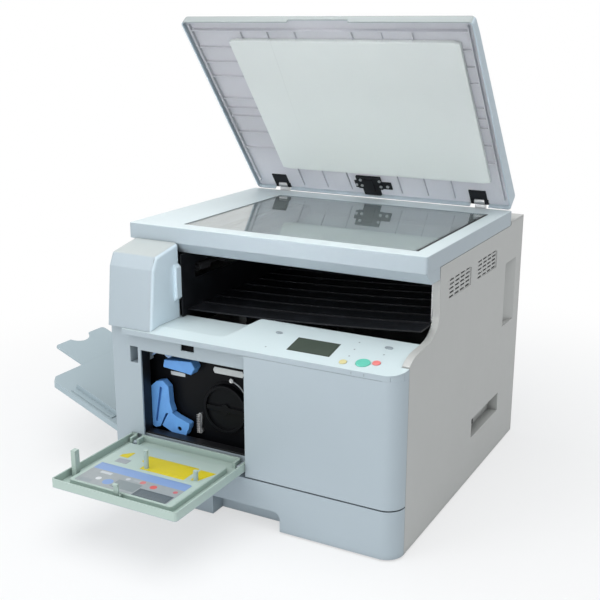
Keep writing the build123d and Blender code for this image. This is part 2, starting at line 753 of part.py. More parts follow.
def opening_frame():
    """Frame round the maintenance bay: left pillar, head, foot strip, door hinge ears and latch catch."""
    x1 = FRONT_COVER_X0 - SEAM
    head_z = PANEL_LIP_Z - SEAM
    face_y, back_y = SETBACK, SETBACK + WALL
    frame = block(0, BAY_X0, face_y, back_y, DRAWER_TOP + SEAM, head_z)
    frame += block(0, PANEL_X0 - SEAM, face_y, back_y, head_z, PANEL_Z + SEAM / 2)
    frame += block(0, WALL, face_y, SIDE_START - SEAM, DRAWER_TOP + SEAM, PANEL_Z + SEAM / 2)
    frame += block(BAY_X0, x1, face_y, back_y, BAY_Z1, head_z)
    frame += block(BAY_X0 - WALL, x1, face_y, BAY_RETURN, BAY_Z1 - WALL, BAY_Z1)
    frame += block(BAY_X0 - WALL, BAY_X0, face_y, BAY_RETURN, BAY_Z0, BAY_Z1)
    frame += block(BAY_X0 - WALL, x1, FRAME_STRIP_Y, FRAME_STRIP_Y + WALL, DECK_Z, BAY_Z0)
    frame += block(BAY_X0 - WALL, x1, FRAME_STRIP_Y, BAY_RETURN, BAY_Z0 - WALL, BAY_Z0)
    clear = DOOR_AXIS_UP + DOOR_T - DOOR_AXIS_IN
    frame -= block(DOOR_X0 - 2 * SEAM, x1, face_y - PAST, FRAME_STRIP_Y, DRAWER_TOP, DOOR_AXIS_Z + clear / 2)
    frame += block(DOOR_X0 - 2 * SEAM, BAY_X0, FRAME_STRIP_Y, FRAME_STRIP_Y + WALL, DECK_Z, BAY_Z0)
    frame += block(DOOR_X0 - 2 * SEAM - WALL, DOOR_X0 - 2 * SEAM, face_y, FRAME_STRIP_Y + WALL, DECK_Z, BAY_Z0)
    frame -= block(NOTCH_X0, NOTCH_X1, face_y - PAST, back_y + PAST, NOTCH_Z0, NOTCH_Z1)
    box_y = NOTCH_DEPTH + SETBACK
    notch_box = block(NOTCH_X0 - WALL, NOTCH_X1 + WALL, back_y, box_y, NOTCH_Z0 - WALL, NOTCH_Z1 + WALL)
    frame += notch_box - block(NOTCH_X0, NOTCH_X1, face_y, box_y - WALL, NOTCH_Z0, NOTCH_Z1)
    frame -= block(CATCH_X0, CATCH_X1, face_y - PAST, back_y + PAST, head_z - CATCH_H, head_z - WALL)
    for x in DOOR_EARS:
        frame += door_ear(x)
    return frame


def door_ear(x):
    """One fixed hinge ear of the front door: a ring on an arm from the foot strip."""
    ear = rod_x(x, x + DOOR_EAR_W, DOOR_AXIS_Y, DOOR_AXIS_Z, DOOR_EAR_R)
    arm_h = DOOR_EAR_R - RUN
    ear += block(x, x + DOOR_EAR_W, DOOR_AXIS_Y, FRAME_STRIP_Y, DOOR_AXIS_Z - arm_h, DOOR_AXIS_Z + arm_h)
    return ear - rod_x(x - PAST, x + DOOR_EAR_W + PAST, DOOR_AXIS_Y, DOOR_AXIS_Z, DOOR_PIN_R + SHAFT_PLAY)


def door_panel():
    """Front door drawn let down: outer skin, rounded rim, hinge bosses and pins."""
    z0 = DOOR_AXIS_Z - DOOR_AXIS_IN
    z1 = z0 + DOOR_T
    y1 = DOOR_AXIS_Y + DOOR_AXIS_UP
    y0 = y1 - DOOR_H
    body = block(DOOR_X0, DOOR_X1, y0, y1, z0, z1)
    body = fillet(body.edges().filter_by(Axis.Z), RIM_R)
    inner = block(DOOR_X0 + RIM_T, DOOR_X1 - RIM_T, y0 + RIM_T, y1 - RIM_T, z0 + WALL, z1 + PAST)
    inner = fillet(inner.edges().filter_by(Axis.Z), RIM_R - RIM_T)
    body -= inner
    for x in DOOR_EARS:
        gap0, gap1 = x - EAR_GAP, x + DOOR_EAR_W + EAR_GAP
        for low, high in ((gap0 - 2 * WALL, gap0), (gap1, gap1 + 2 * WALL)):
            body += block(low, high, DOOR_AXIS_Y - 2 * WALL, y1 - RIM_T, z0 + WALL, z1 - WALL)
        body -= block(gap0, gap1, DOOR_AXIS_Y - 2 * DOOR_EAR_R, y1 + PAST, z0 - PAST, z1 + PAST)
        body += rod_x(gap0 - WALL, gap1 + WALL, DOOR_AXIS_Y, DOOR_AXIS_Z, DOOR_PIN_R)
    return body


def door_liner():
    """Raised inner plate of the front door with its posts, latch hook and switch tab."""
    z0 = DOOR_AXIS_Z - DOOR_AXIS_IN + WALL
    z1 = z0 + LINER_RISE
    y1 = DOOR_AXIS_Y + DOOR_AXIS_UP
    y0 = y1 - DOOR_H
    x0, x1 = DOOR_X0 + TROUGH + RIM_T, DOOR_X1 - TROUGH - RIM_T
    back_y = y1 - 2 * TROUGH + RIM_T
    liner = block(x0, x1, y0 + TROUGH, back_y, z0, z1)
    liner = fillet(liner.edges().filter_by(Axis.Z), RIM_R)
    liner = chamfer(liner.faces().sort_by(Axis.Z)[-1].edges(), LINER_BEVEL)
    liner -= block(x0 + WALL, x1 - WALL, y0 + TROUGH + WALL, back_y - WALL, z0 - PAST, z1 - WALL)
    for x, y, h in DOOR_POSTS:
        liner += rod_z(x, y, z1 - WALL, z1 + h, POST_R)
    hook_y = y0 + RIM_T + HOOK_H
    hook_x, tip_z = (HOOK_X - HOOK_W / 2, HOOK_X + HOOK_W / 2), z1 + HOOK_REACH
    liner += block(*hook_x, hook_y, y0 + TROUGH + WALL, z0, z1 - WALL)
    liner += block(*hook_x, hook_y, hook_y + WALL, z0, tip_z)
    liner += block(*hook_x, hook_y - WALL, hook_y, tip_z - WALL, tip_z)
    tab_y = DOOR_AXIS_Y - TAB_UP
    liner += block(TAB_X - TAB_W / 2, x0 + WALL, tab_y, tab_y + TAB_H, z0, z0 + WALL)
    liner += block(TAB_X - TAB_W / 2, TAB_X + TAB_W / 2, tab_y, tab_y + TAB_H, z0, z1 + TAB_REACH)
    return liner


def key_holes(shape, grow):
    """Each key's outline on the panel: name, centre and half sizes, as cutters grown by a clearance."""
    for x, y, rx, ry in KEYS.values():
        shape -= panel_place() * Pos(x, slope_y(y), 0) * key_body(
            rx + grow, ry + grow, -PANEL_T - KEY_DEPTH, KEY_DEPTH
        )
    return shape


def key_body(rx, ry, z0, z1):
    """A round or oval key between two heights above the panel."""
    return Pos(0, 0, z0) * extrude(Ellipse(rx, ry) if rx != ry else Circle(rx), z1 - z0)


def panel_solid(drop, inset):
    """The control panel's outer form, lowered by drop and drawn in by inset."""
    z0, z1 = PANEL_LIP_Z - PAST, PANEL_Z + PANEL_D * PANEL_RISE + PAST
    back = PANEL_D - inset
    side = [
        (inset, z0),
        (inset, PANEL_Z - drop + inset * PANEL_RISE),
        (back, PANEL_Z - drop + back * PANEL_RISE),
        (back, z0),
    ]
    form = across(side, PANEL_X0 + inset, BODY_W - inset)
    plan = upright_shell(PANEL_X0, CORNER_R - PAST, z0, z1)
    return form & (plan + block(PANEL_X0, PANEL_X1 - SEAM, 2 * WALL, PANEL_D, z0, z1))


def scoop_cutter():
    """Pick-up hollow beside the column: level floor, then an S-shaped ramp up to the panel's back edge."""
    z1 = PANEL_Z + PANEL_D * PANEL_RISE + 1
    x0, x1 = PANEL_X0 - PAST, SCOOP_X1
    ramp = Spline((x1, SCOOP_Z), (x1 + SCOOP_RAMP, z1), tangents=[(1, 0), (1, 0)])
    rest = Polyline((x1 + SCOOP_RAMP, z1), (x0, z1), (x0, SCOOP_Z), (x1, SCOOP_Z))
    face = make_face([ramp, *rest.edges()])
    return extrude(Plane.XZ.offset(-PANEL_D - PAST) * face, PANEL_D)


def panel_housing():
    """Control panel housing: sloping top, rounded front corner, pick-up hollow, display pocket, key holes."""
    housing = panel_solid(0, 0) - scoop_cutter()
    floor_drop = PANEL_Z + PANEL_D * PANEL_RISE - SCOOP_Z
    hollow = panel_solid(PANEL_T, WALL)
    hollow -= Pos(0, 0, -PANEL_T) * scoop_cutter()
    hollow -= block(PANEL_X0, SCOOP_X1 + SCOOP_RAMP, PANEL_D - floor_drop, PANEL_D, SCOOP_Z - PANEL_T, BODY_D)
    housing -= hollow
    housing &= block(PANEL_X0, BODY_W, 0, PANEL_D, PANEL_LIP_Z, BODY_D)
    housing = key_holes(housing, RUN)
    place = panel_place() * Pos(LCD_X, slope_y(LCD_Y), 0)
    housing -= place * Box(LCD_W + RUN, LCD_H + RUN, 2 * (LCD_T - LCD_PROUD))
    for x, y in LAMPS:
        housing -= panel_place() * Pos(x, slope_y(y), 0) * Cylinder(LAMP_R, KEY_DEPTH)
    for x in TICKS_X:
        housing -= block(x - TICK_W / 2, x + TICK_W / 2, -PAST, PAST, PANEL_LIP_Z + WALL, PANEL_Z - WALL)
    return housing


def display():
    """Display window seated in the panel's pocket."""
    plate = Box(LCD_W, LCD_H, LCD_T)
    plate = chamfer(plate.faces().sort_by(Axis.Z)[-1].edges(), LCD_PROUD / 2)
    return panel_place() * Pos(LCD_X, slope_y(LCD_Y), LCD_PROUD - LCD_T / 2) * plate


def status_lamps():
    """Small lamp lenses on the panel and two on its front lip."""
    drop = LAMP_T / 2 - LAMP_PROUD
    lamps = [panel_place() * Pos(x, slope_y(y), -drop) * Cylinder(LAMP_R, LAMP_T) for x, y in LAMPS]
    for x in TICKS_X:
        lamps.append(
            block(x - TICK_W / 2, x + TICK_W / 2, -LAMP_PROUD, PAST, PANEL_LIP_Z + WALL, PANEL_Z - WALL)
        )
    return Compound(lamps)


def panel_key(name):
    """A sprung key: cap above the panel, flange below it."""
    x, y, rx, ry = KEYS[name]
    cap = key_body(rx, ry, -PANEL_T - PAST, KEY_PROUD)
    cap = fillet(cap.faces().sort_by(Axis.Z)[-1].edges(), KEY_PROUD / 2)
    cap += key_body(rx + KEY_FLANGE, ry + KEY_FLANGE, -PANEL_T - KEY_DEPTH, -PANEL_T - RUN)
    return panel_place() * Pos(x, slope_y(y), 0) * cap


def column_form(inset):
    """Outer form of the delivery column, drawn in by inset and then open below and behind."""
    past = PAST if inset else 0
    front_y = SETBACK - COLUMN_LEAN
    knee_y = (SCOOP_Z - PANEL_Z) / PANEL_RISE
    outline = [
        (front_y + inset, PANEL_Z + front_y * PANEL_RISE + SEAM / 2 - past),
        (knee_y, SCOOP_Z + SEAM / 2 - past),
        (COLUMN_WALL_Y + past, SCOOP_Z + SEAM / 2 - past),
        (COLUMN_WALL_Y + past, SCANNER_SEAM_Z + PAST - inset),
        (SETBACK + COLUMN_FRONT_R / 2, COLUMN_TOP_FRONT - inset),
        (SETBACK + inset, COLUMN_TOP_FRONT - COLUMN_FRONT_R),
    ]
    form = across(outline, inset, COLUMN_W - inset)
    top = [e for e in form.edges().filter_by(Axis.X) if e.center().Z > SCANNER_Z - COLUMN_FRONT_R
           and e.center().Y < SCANNER_Y0 / 2]
    return fillet(top, COLUMN_FRONT_R / 3)


def column_cover():
    """Moulded column over the paper exit, with a raised lug on its inner side."""
    form = column_form(0)
    side_x = (0, COLUMN_W)
    rim = [
        e
        for e in form.edges()
        if e.center().Y < COLUMN_WALL_Y - PAST
        and e.center().Z > PANEL_Z + 2 * COLUMN_EDGE_R
        and min(abs(e.center().X - x) for x in side_x) < SHAFT_PLAY
    ]
    cover = fillet(rim, COLUMN_EDGE_R) - column_form(WALL)
    lug = block(COLUMN_W - WALL, COLUMN_W + LUG_W, LUG_Y0, COLUMN_WALL_Y, LUG_Z0, LUG_Z1)
    return cover + chamfer(lug.faces().sort_by(Axis.X)[-1].edges().filter_by(Axis.Y), LUG_W - PAST)


def tray_outline(drop):
    """Side view of the delivery tray: low at the exit on the left, then a long rise to the right."""
    x0, x1 = CAVITY_X0, PANEL_X1 - SEAM
    low = CAVITY_FLOOR_Z - drop
    return Spline((x0, low), (x0 + CAVITY_DROP * 3, low + TRAY_KNEE), (x1, TRAY_HIGH_Z - drop))


def delivery_tray():
    """Black output tray in the body, with long raised ridges and a hollow at the exit."""
    top, under = tray_outline(0), tray_outline(WALL)
    ends = [Line(top @ 1, under @ 1), Line(top @ 0, under @ 0)]
    y0 = PANEL_D + SEAM
    tray = extrude(Plane.XZ.offset(-CAVITY_BACK_Y) * make_face([top, under, *ends]), CAVITY_BACK_Y - y0)
    ridge_top = tray_outline(-RIDGE_H)
    ridge = make_face([top, ridge_top, Line(top @ 1, ridge_top @ 1), Line(top @ 0, ridge_top @ 0)])
    step = (CAVITY_BACK_Y - y0) / (TRAY_RIBS + 1)
    for n in range(1, TRAY_RIBS + 1):
        tray += extrude(Plane.XZ.offset(-(y0 + n * step)) * ridge, 2 * RIB_T)
    notch = CUT_PROFILE[0][0] + PANEL_STRIP
    tray -= block(FRAME_X1 - SHEET - RUN, BODY_W, notch - RUN, BODY_D, SCOOP_Z, SCANNER_Z)
    return tray


def delivery_walls():
    """Black liner of the delivery cavity: back wall and the wall on the exit side."""
    x0, x1 = EXIT_WALL_X, FRAME_X1 - SHEET - RUN
    z0 = CAVITY_FLOOR_Z - CAVITY_DROP
    liner = block(x0, x1, CAVITY_BACK_Y + RUN, CAVITY_BACK_Y + RUN + WALL, z0, SCANNER_Z)
    side = block(x0, x0 + WALL, PANEL_D + SEAM, CAVITY_BACK_Y + RUN + WALL, z0, SCANNER_Z)
    side += block(x0, x0 + WALL, SCANNER_Y0 + SEAM, PANEL_D + SEAM, SCOOP_Z + SEAM, SCANNER_Z)
    side -= block(x0 - PAST, x0 + WALL + PAST, EXIT_Y0, EXIT_Y1, EXIT_Z - EXIT_H / 2, EXIT_Z + EXIT_H / 2)
    return liner + side


def exit_roller():
    """Exit shaft with its rubber rollers, standing in the exit slot."""
    roll = rod_y(ROLL_X, EXIT_Y0 - ROLL_SHAFT_PAST, EXIT_Y1 + ROLL_SHAFT_PAST, EXIT_Z, ROLL_SHAFT_R)
    pitch = (EXIT_Y1 - EXIT_Y0) / ROLL_COUNT
    for n in range(ROLL_COUNT):
        y = EXIT_Y0 + pitch * (n + 0.5)
        roll += rod_y(ROLL_X, y - ROLL_L / 2, y + ROLL_L / 2, EXIT_Z, ROLL_R)
    return roll


def exit_guide():
    """Two bearing brackets of the exit shaft, fixed to the exit-side wall."""
    ears = []
    for y in (EXIT_Y0 - BEARING_GAP - BEARING_T, EXIT_Y1 + BEARING_GAP):
        ear = block(ROLL_X - ROLL_R, EXIT_WALL_X, y, y + BEARING_T, EXIT_Z - ROLL_R, EXIT_Z + ROLL_R)
        bore = rod_y(ROLL_X, y - PAST, y + BEARING_T + PAST, EXIT_Z, ROLL_SHAFT_R + SHAFT_PLAY)
        ears.append(ear - bore)
    return Compound(ears)


def scanner_plan(inset):
    """Corners of the scanner seen from above, drawn in by inset."""
    return -SCANNER_OVERHANG + inset, BODY_W - inset, SCANNER_Y0 + inset, SCANNER_Y1 - inset


def scanner_base():
    """Scanner tub: floor and walls, with the sloped lower front edge."""
    x0, x1, y0, y1 = scanner_plan(0)
    side = [(y0 + SCANNER_CHAMFER, SCANNER_Z), (y1, SCANNER_Z), (y1, SCANNER_SEAM_Z), (y0, SCANNER_SEAM_Z)]
    tub = across(side, WALL + 2 * RUN, x1 - WALL - 2 * RUN)
    lip = across([side[3], (y0 + SCANNER_CHAMFER, SCANNER_Z), (y0 + SCANNER_CHAMFER + WALL, SCANNER_Z),
                  (y0 + SCANNER_CHAMFER + WALL, SCANNER_SEAM_Z)], COLUMN_W + SEAM, CUT_X1)
    floor_z, over_z = SCANNER_Z + SCANNER_FLOOR_T, SCANNER_SEAM_Z + PAST
    hollow = [
        (y0 + SCANNER_CHAMFER + WALL, floor_z),
        (y1 - WALL, floor_z),
        (y1 - WALL, over_z),
        (y0 + WALL, over_z),
        (y0 + WALL, SCANNER_SEAM_Z - WALL),
    ]
    tub -= across(hollow, 2 * WALL + 2 * RUN, x1 - 2 * WALL - 2 * RUN)
    edge_y = CUT_PROFILE[0][0] - WALL
    corner = across([side[0], (edge_y, SCANNER_Z), (edge_y, SCANNER_SEAM_Z), side[3]], x1 - WALL - 2 * RUN, x1)
    return tub + lip + corner


def scanner_top():
    """Upper scanner frame: rounded outer edge, window for the glass and a ledge under it."""
    x0, x1, y0, y1 = scanner_plan(0)
    frame = block(x0, x1, y0, y1, SCANNER_SEAM_Z, SCANNER_TOP)
    frame = fillet(frame.edges().filter_by(Axis.Z), SCANNER_EDGE_R)
    frame = fillet(frame.faces().sort_by(Axis.Z)[-1].edges(), SCANNER_EDGE_R / 2)
    under_z = SCANNER_TOP - 2 * WALL - GLASS_T
    frame -= block(x0 + WALL, x1 - WALL, y0 + WALL, y1 - WALL, SCANNER_SEAM_Z - PAST, under_z)
    seat_z, over_z = SCANNER_TOP - GLASS_SINK - GLASS_T, SCANNER_TOP + PAST
    seat_x, seat_y = (GLASS_X0 - RUN, GLASS_X1 + GASKET_W + RUN), (GLASS_Y0 - RUN, GLASS_Y1 + RUN)
    frame -= block(*seat_x, *seat_y, seat_z, over_z)
    window_x = (GLASS_X0 + GLASS_LEDGE, GLASS_X1 - GLASS_LEDGE)
    window_y = (GLASS_Y0 + GLASS_LEDGE, GLASS_Y1 - GLASS_LEDGE)
    frame -= block(*window_x, *window_y, SCANNER_SEAM_Z, over_z)
    return frame


def platen_glass():
    """Exposure glass seated on its ledge."""
    z1 = SCANNER_TOP - GLASS_SINK
    glass = block(GLASS_X0, GLASS_X1 - RUN, GLASS_Y0, GLASS_Y1, z1 - GLASS_T, z1)
    return chamfer(glass.faces().sort_by(Axis.Z)[-1].edges(), GLASS_BEVEL)


def glass_gasket():
    """Dark strip along the right edge of the glass."""
    z1 = SCANNER_TOP - GLASS_SINK / 2
    return block(GLASS_X1, GLASS_X1 + GASKET_W, GLASS_Y0, GLASS_Y1, SCANNER_TOP - GLASS_SINK - GLASS_T, z1)


def scan_rail():
    """Guide rod of the carriage in two end blocks on the scanner's floor."""
    x0, x1 = GLASS_X0 - RAIL_PAST_LEFT, GLASS_X1 + RAIL_PAST_RIGHT
    rail = rod_x(x0, x1, RAIL_Y, RAIL_Z, RAIL_R)
    y0, y1 = RAIL_Y - RAIL_BLOCK_Y / 2, RAIL_Y + RAIL_BLOCK_Y / 2
    for x in (x0 - RAIL_BLOCK_X, x1):
        rail += block(x, x + RAIL_BLOCK_X, y0, y1, SCANNER_Z + SCANNER_FLOOR_T, RAIL_Z + RAIL_R + RAIL_CAP)
    return rail


def scan_carriage():
    """Lamp and sensor carriage on its rod, with a long lamp slot in its top."""
    x0, x1 = CARRIAGE_X, CARRIAGE_X + CARRIAGE_W
    y0, y1 = GLASS_Y0 + CARRIAGE_END, GLASS_Y1 - CARRIAGE_END
    z0 = RAIL_Z - RAIL_R - RAIL_CAP
    body = block(x0, x1, y0, y1, z0, z0 + CARRIAGE_H)
    body = chamfer(body.faces().sort_by(Axis.Z)[-1].edges().filter_by(Axis.Y), CARRIAGE_BEVEL)
    body -= rod_x(x0 - PAST, x1 + PAST, RAIL_Y, RAIL_Z, RAIL_R + SHAFT_PLAY)
    low, high = LAMP_SLOT
    slot_y0, slot_y1 = y0 + LAMP_SLOT_END, y1 - LAMP_SLOT_END
    return body - block(x0 + low, x0 + high, slot_y0, slot_y1, RAIL_Z + RAIL_R, RAIL_Z + CARRIAGE_H)


def scan_belt():
    """Toothed drive belt's two runs with the pulleys at their ends, beside the rod."""
    z = SCANNER_Z + SCANNER_FLOOR_T
    x0, x1 = BELT_X0, GLASS_X1
    belt = rod_z(x0, BELT_Y, z, z + PULLEY_H, PULLEY_R) + rod_z(x1, BELT_Y, z, z + PULLEY_H, PULLEY_R)
    for y in (BELT_Y - PULLEY_R, BELT_Y + PULLEY_R - BELT_T):
        belt += block(x0, x1, y, y + BELT_T, z + BELT_T, z + BELT_T + BELT_W)
    return belt


def opened(shape):
    """A piece of the platen cover, drawn closed, swung up to its open place."""
    return turned_x(shape, -COVER_OPEN, COVER_AXIS_Y, COVER_AXIS_Z)


def cover_form(inset):
    """Outer form of the closed platen cover, drawn in by inset and open below when inset."""
    z0 = COVER_Z - (PAST if inset else 0)
    y0, y1 = COVER_Y0 + inset, COVER_Y1 - inset
    front_z = COVER_Z + COVER_FRONT_H - inset
    rear_z = COVER_Z + COVER_REAR_H - inset
    outline = [(y0, z0), (y1, z0), (y1, rear_z), (y0 + COVER_REAR_H, front_z + COVER_EDGE_R / 2), (y0, front_z)]
    form = across(outline, COVER_X0 + inset, COVER_X1 - inset)
    radius = COVER_EDGE_R - inset
    form = fillet(form.edges().filter_by(Axis.Z), radius)
    top = [e for e in form.edges() if e.center().Z > COVER_Z + COVER_FRONT_H / 2 + inset]
    return form, top, radius


def hinge_room(wide, y0, z1):
    """Room for both hinges, cut out of the closed cover's rear."""
    cut = None
    for x in HINGES_X:
        room = block(x - wide, x + wide, y0, COVER_Y1 + PAST, COVER_Z - 2 * PAST, z1)
        cut = room if cut is None else cut + room
    return cut


def cover_shell():
    """Outer skin of the platen cover: a wedge-shaped tray with a finger grip in its front wall."""
    form = cover_form(0)[0]
    edges = [e for e in form.faces().sort_by(Axis.Z)[-1].edges()]
    form = fillet(edges, COVER_EDGE_R / 2)
    shell = form - cover_form(WALL)[0]
    grip_z = (COVER_Z - PAST, COVER_Z + LINER_DEPTH - LINER_T)
    shell -= block(GRIP_X0, GRIP_X1, COVER_Y0 - PAST, COVER_Y0 + WALL + PAST, *grip_z)
    half = HINGE_KNUCKLE_W / 2 + HINGE_EAR_W + HINGE_ROOM
    shell -= hinge_room(half, COVER_AXIS_Y, COVER_AXIS_Z + HINGE_KNUCKLE_R + HINGE_ROOM)
    return opened(shell)


def cover_liner():
    """Ribbed liner inside the platen cover, round the white pad."""
    x0, x1 = COVER_X0 + WALL, COVER_X1 - WALL
    y0, y1 = COVER_Y0 + WALL, COVER_Y1 - WALL
    plate = block(x0, x1, y0, y1, LINER_Z, LINER_Z + LINER_T)
    plate = fillet(plate.edges().filter_by(Axis.Z), COVER_EDGE_R - WALL)
    rib_z = COVER_Z + RIB_T
    pad_y0, pad_y1 = COVER_AXIS_Y - PAD_S1, COVER_AXIS_Y - PAD_S0
    ribs = []
    for x in (x0 + COVER_EDGE_R, x1 - COVER_EDGE_R - RIB_T):
        ribs.append(block(x, x + RIB_T, y0 + COVER_EDGE_R, y1 - 2 * COVER_EDGE_R, rib_z, LINER_Z))
    for s in SIDE_RIBS_S:
        y = COVER_AXIS_Y - s
        ribs.append(
            block(x0 + COVER_EDGE_R, PAD_X0 - PAST, y - RIB_T / 2, y + RIB_T / 2, rib_z + RIB_T, LINER_Z)
        )
        ribs.append(
            block(PAD_X1 + PAST, x1 - COVER_EDGE_R, y - RIB_T / 2, y + RIB_T / 2, rib_z + RIB_T, LINER_Z)
        )
    groove_y = COVER_AXIS_Y - FRONT_GROOVE_S
    ribs.append(block(x0 + COVER_EDGE_R, x1 - COVER_EDGE_R, groove_y - RIB_T, groove_y, rib_z, LINER_Z))
    rear_y = pad_y1 + 1
    pitch = (x1 - x0) / (REAR_RIBS + 1)
    for n in range(1, REAR_RIBS + 1):
        x = x0 + n * pitch
        by_hinge = min(abs(x - h) for h in HINGES_X) <= HINGE_KNUCKLE_W + WALL
        by_bracket = BRACKET_X0 - BRACKET_CLEAR < x < BRACKET_X1 + BRACKET_CLEAR
        if not by_hinge and not by_bracket:
            ribs.append(block(x, x + RIB_T, rear_y, COVER_AXIS_Y - COVER_EDGE_R, rib_z + RIB_T, LINER_Z))
            ribs.append(block(x, x + RIB_T, groove_y, pad_y0 - PAST, rib_z + RIB_T, LINER_Z))
    for rib in ribs:
        plate += rib
    half = HINGE_KNUCKLE_W / 2 + HINGE_EAR_W + HINGE_ROOM
    plate -= hinge_room(half, COVER_AXIS_Y - HINGE_KNUCKLE_R - HINGE_ROOM, COVER_AXIS_Z + COVER_REAR_H)
    return opened(plate)


def platen_pad():
    """White backing pad that presses the original on the glass."""
    pad = block(PAD_X0, PAD_X1, COVER_AXIS_Y - PAD_S1, COVER_AXIS_Y - PAD_S0, COVER_Z - PAD_LIFT, LINER_Z)
    pad = fillet(pad.edges().filter_by(Axis.Z), PAD_CORNER)
    return opened(chamfer(pad.faces().sort_by(Axis.Z)[0].edges(), PAD_BEVEL))


def cover_bracket():
    """Dark centre bracket of the cover with its tab towards the scanner's rear edge."""
    y0, y1 = COVER_AXIS_Y - BRACKET_S1, COVER_AXIS_Y - BRACKET_S0
    low, high = BRACKET_TAB
    mid = (low + high) / 2
    half, back, drop = BRACKET_PAD
    base = block(low - BRACKET_FLANK, high + BRACKET_FLANK, y0, y1, LINER_Z - BRACKET_T, LINER_Z)
    base += block(BRACKET_X0, BRACKET_X1, y0 + BRACKET_STEP, y1, LINER_Z - BRACKET_T / 2, LINER_Z)
    base += block(low, high, y1, COVER_AXIS_Y + PAST, LINER_Z - BRACKET_T, LINER_Z)
    base += block(mid - half, mid + half, y0 + back, y1 + back, LINER_Z - BRACKET_T - drop, LINER_Z)
    return opened(base)


def cover_screws():
    """Pan-head screws of the centre bracket."""
    heads = []
    low, high = BRACKET_TAB
    for off, s in BRACKET_SCREWS:
        x = BODY_W / 2 + off
        thick = low - BRACKET_FLANK < x < high + BRACKET_FLANK
        z1 = LINER_Z - (BRACKET_T if thick else BRACKET_T / 2)
        heads.append(opened(rod_z(x, COVER_AXIS_Y - s, z1 - SCREW_HEAD, z1, SCREW_R)))
    return Compound(heads)


def hinge_bases():
    """Fixed hinge posts behind the scanner, each with its knuckle and pin."""
    posts = []
    y = SCANNER_Y1 + SEAM
    half = HINGE_KNUCKLE_W / 2
    foot, pin = half + HINGE_FOOT, half + HINGE_EAR_W + PAST
    for x in HINGES_X:
        post = block(x - half, x + half, y, y + HINGE_POST_T, REAR_TOP, COVER_AXIS_Z)
        post += block(x - foot, x + foot, y, y + 3 * HINGE_POST_T, REAR_TOP, REAR_TOP + HINGE_FOOT_T)
        post += rod_x(x - half, x + half, COVER_AXIS_Y, COVER_AXIS_Z, HINGE_KNUCKLE_R)
        post += rod_x(x - pin, x + pin, COVER_AXIS_Y, COVER_AXIS_Z, HINGE_PIN_R)
        posts.append(post)
    return Compound(posts)


def hinge_leaves():
    """Moving hinge leaves under the cover's liner, each with two ears round the pin."""
    leaves = []
    half = HINGE_KNUCKLE_W / 2
    root_y = COVER_AXIS_Y - HINGE_KNUCKLE_R - HINGE_ROOM
    leaf_y, leaf_z = root_y - HINGE_LEAF, LINER_Z - HINGE_LEAF_T
    for x in HINGES_X:
        side = half + HINGE_EAR_W
        leaf = block(x - side, x + side, leaf_y, root_y - HINGE_ROOM, leaf_z, LINER_Z)
        for low in (x - half - RUN - HINGE_EAR_W, x + half + RUN):
            high = low + HINGE_EAR_W
            leaf += block(low, high, leaf_y, COVER_AXIS_Y, leaf_z, LINER_Z)
            leaf += block(low, high, root_y + RUN, COVER_AXIS_Y, leaf_z, COVER_AXIS_Z + HINGE_ROOM)
            leaf += rod_x(low, high, COVER_AXIS_Y, COVER_AXIS_Z, HINGE_KNUCKLE_R)
            leaf -= rod_x(low - PAST, high + PAST, COVER_AXIS_Y, COVER_AXIS_Z, HINGE_PIN_R + SHAFT_PLAY)
        leaves.append(opened(leaf))
    return Compound(leaves)


def drawer_front():
    """Drawer face that wraps the right corner, with the hand hollow under its lower edge."""
    front = upright_shell(DRAWER_X0, WALL, FOOT_H, DRAWER_TOP)
    front += block(DRAWER_X0, DRAWER_X0 + WALL, 0, SETBACK - RUN, FOOT_H, DRAWER_TOP)
    for z in (FOOT_H, DRAWER_TOP - WALL):
        front += block(DRAWER_X0, BODY_W - CORNER_R, WALL, SETBACK - RUN, z, z + WALL)
    front += block(HAND_X0 - WALL, HAND_X1 + WALL, WALL / 2, HAND_DEPTH + WALL, FOOT_H, HAND_Z + WALL)
    hollow = block(HAND_X0, HAND_X1, -PAST, HAND_DEPTH, -PAST, HAND_Z)
    corner = hollow.edges().filter_by(Axis.Y).sort_by(Axis.Z)[-2:].sort_by(Axis.X)[-1]
    front -= fillet(corner, HAND_Z / 3)
    for x in LINK_X:
        over_hollow = HAND_X0 - LINK_W < x < HAND_X1
        low = HAND_Z + WALL if over_hollow else TRAY_Z0 + WALL
        front += block(x, x + LINK_W, WALL, TRAY_Y0, low, TRAY_Z1 - WALL)
    return front


def drawer_tray():
    """Paper tray of the drawer with hinge lugs for the lift plate and a slot for the tail guide."""
    x0, x1 = TRAY_INSET, BODY_W - TRAY_INSET
    floor_z = TRAY_Z0 + TRAY_WALL
    tray = block(x0, x1, TRAY_Y0, TRAY_Y1, TRAY_Z0, TRAY_Z1)
    inner_y = (TRAY_Y0 + TRAY_WALL, TRAY_Y1 - TRAY_WALL)
    tray -= block(x0 + TRAY_WALL, x1 - TRAY_WALL, *inner_y, floor_z, TRAY_Z1 + PAST)
    from_lift, from_end, width = SLIDE_SLOT
    slot_y = (TRAY_MID_Y - width / 2, TRAY_MID_Y + width / 2)
    tray -= block(LIFT_X1 + from_lift, x1 - from_end, *slot_y, TRAY_Z0 - PAST, floor_z + PAST)
    for y in (TRAY_MID_Y - LIFT_HALF - LUG_T - RUN, TRAY_MID_Y + LIFT_HALF + RUN):
        half = LIFT_LUG_X / 2
        lug = block(LIFT_X1 - half, LIFT_X1 + half, y, y + LUG_T, floor_z, LIFT_Z + 2 * LIFT_PIN_R)
        bore = rod_y(LIFT_X1, y - PAST, y + LUG_T + PAST, LIFT_Z + LIFT_T / 2, LIFT_PIN_R + SHAFT_PLAY)
        tray += lug - bore
    return tray


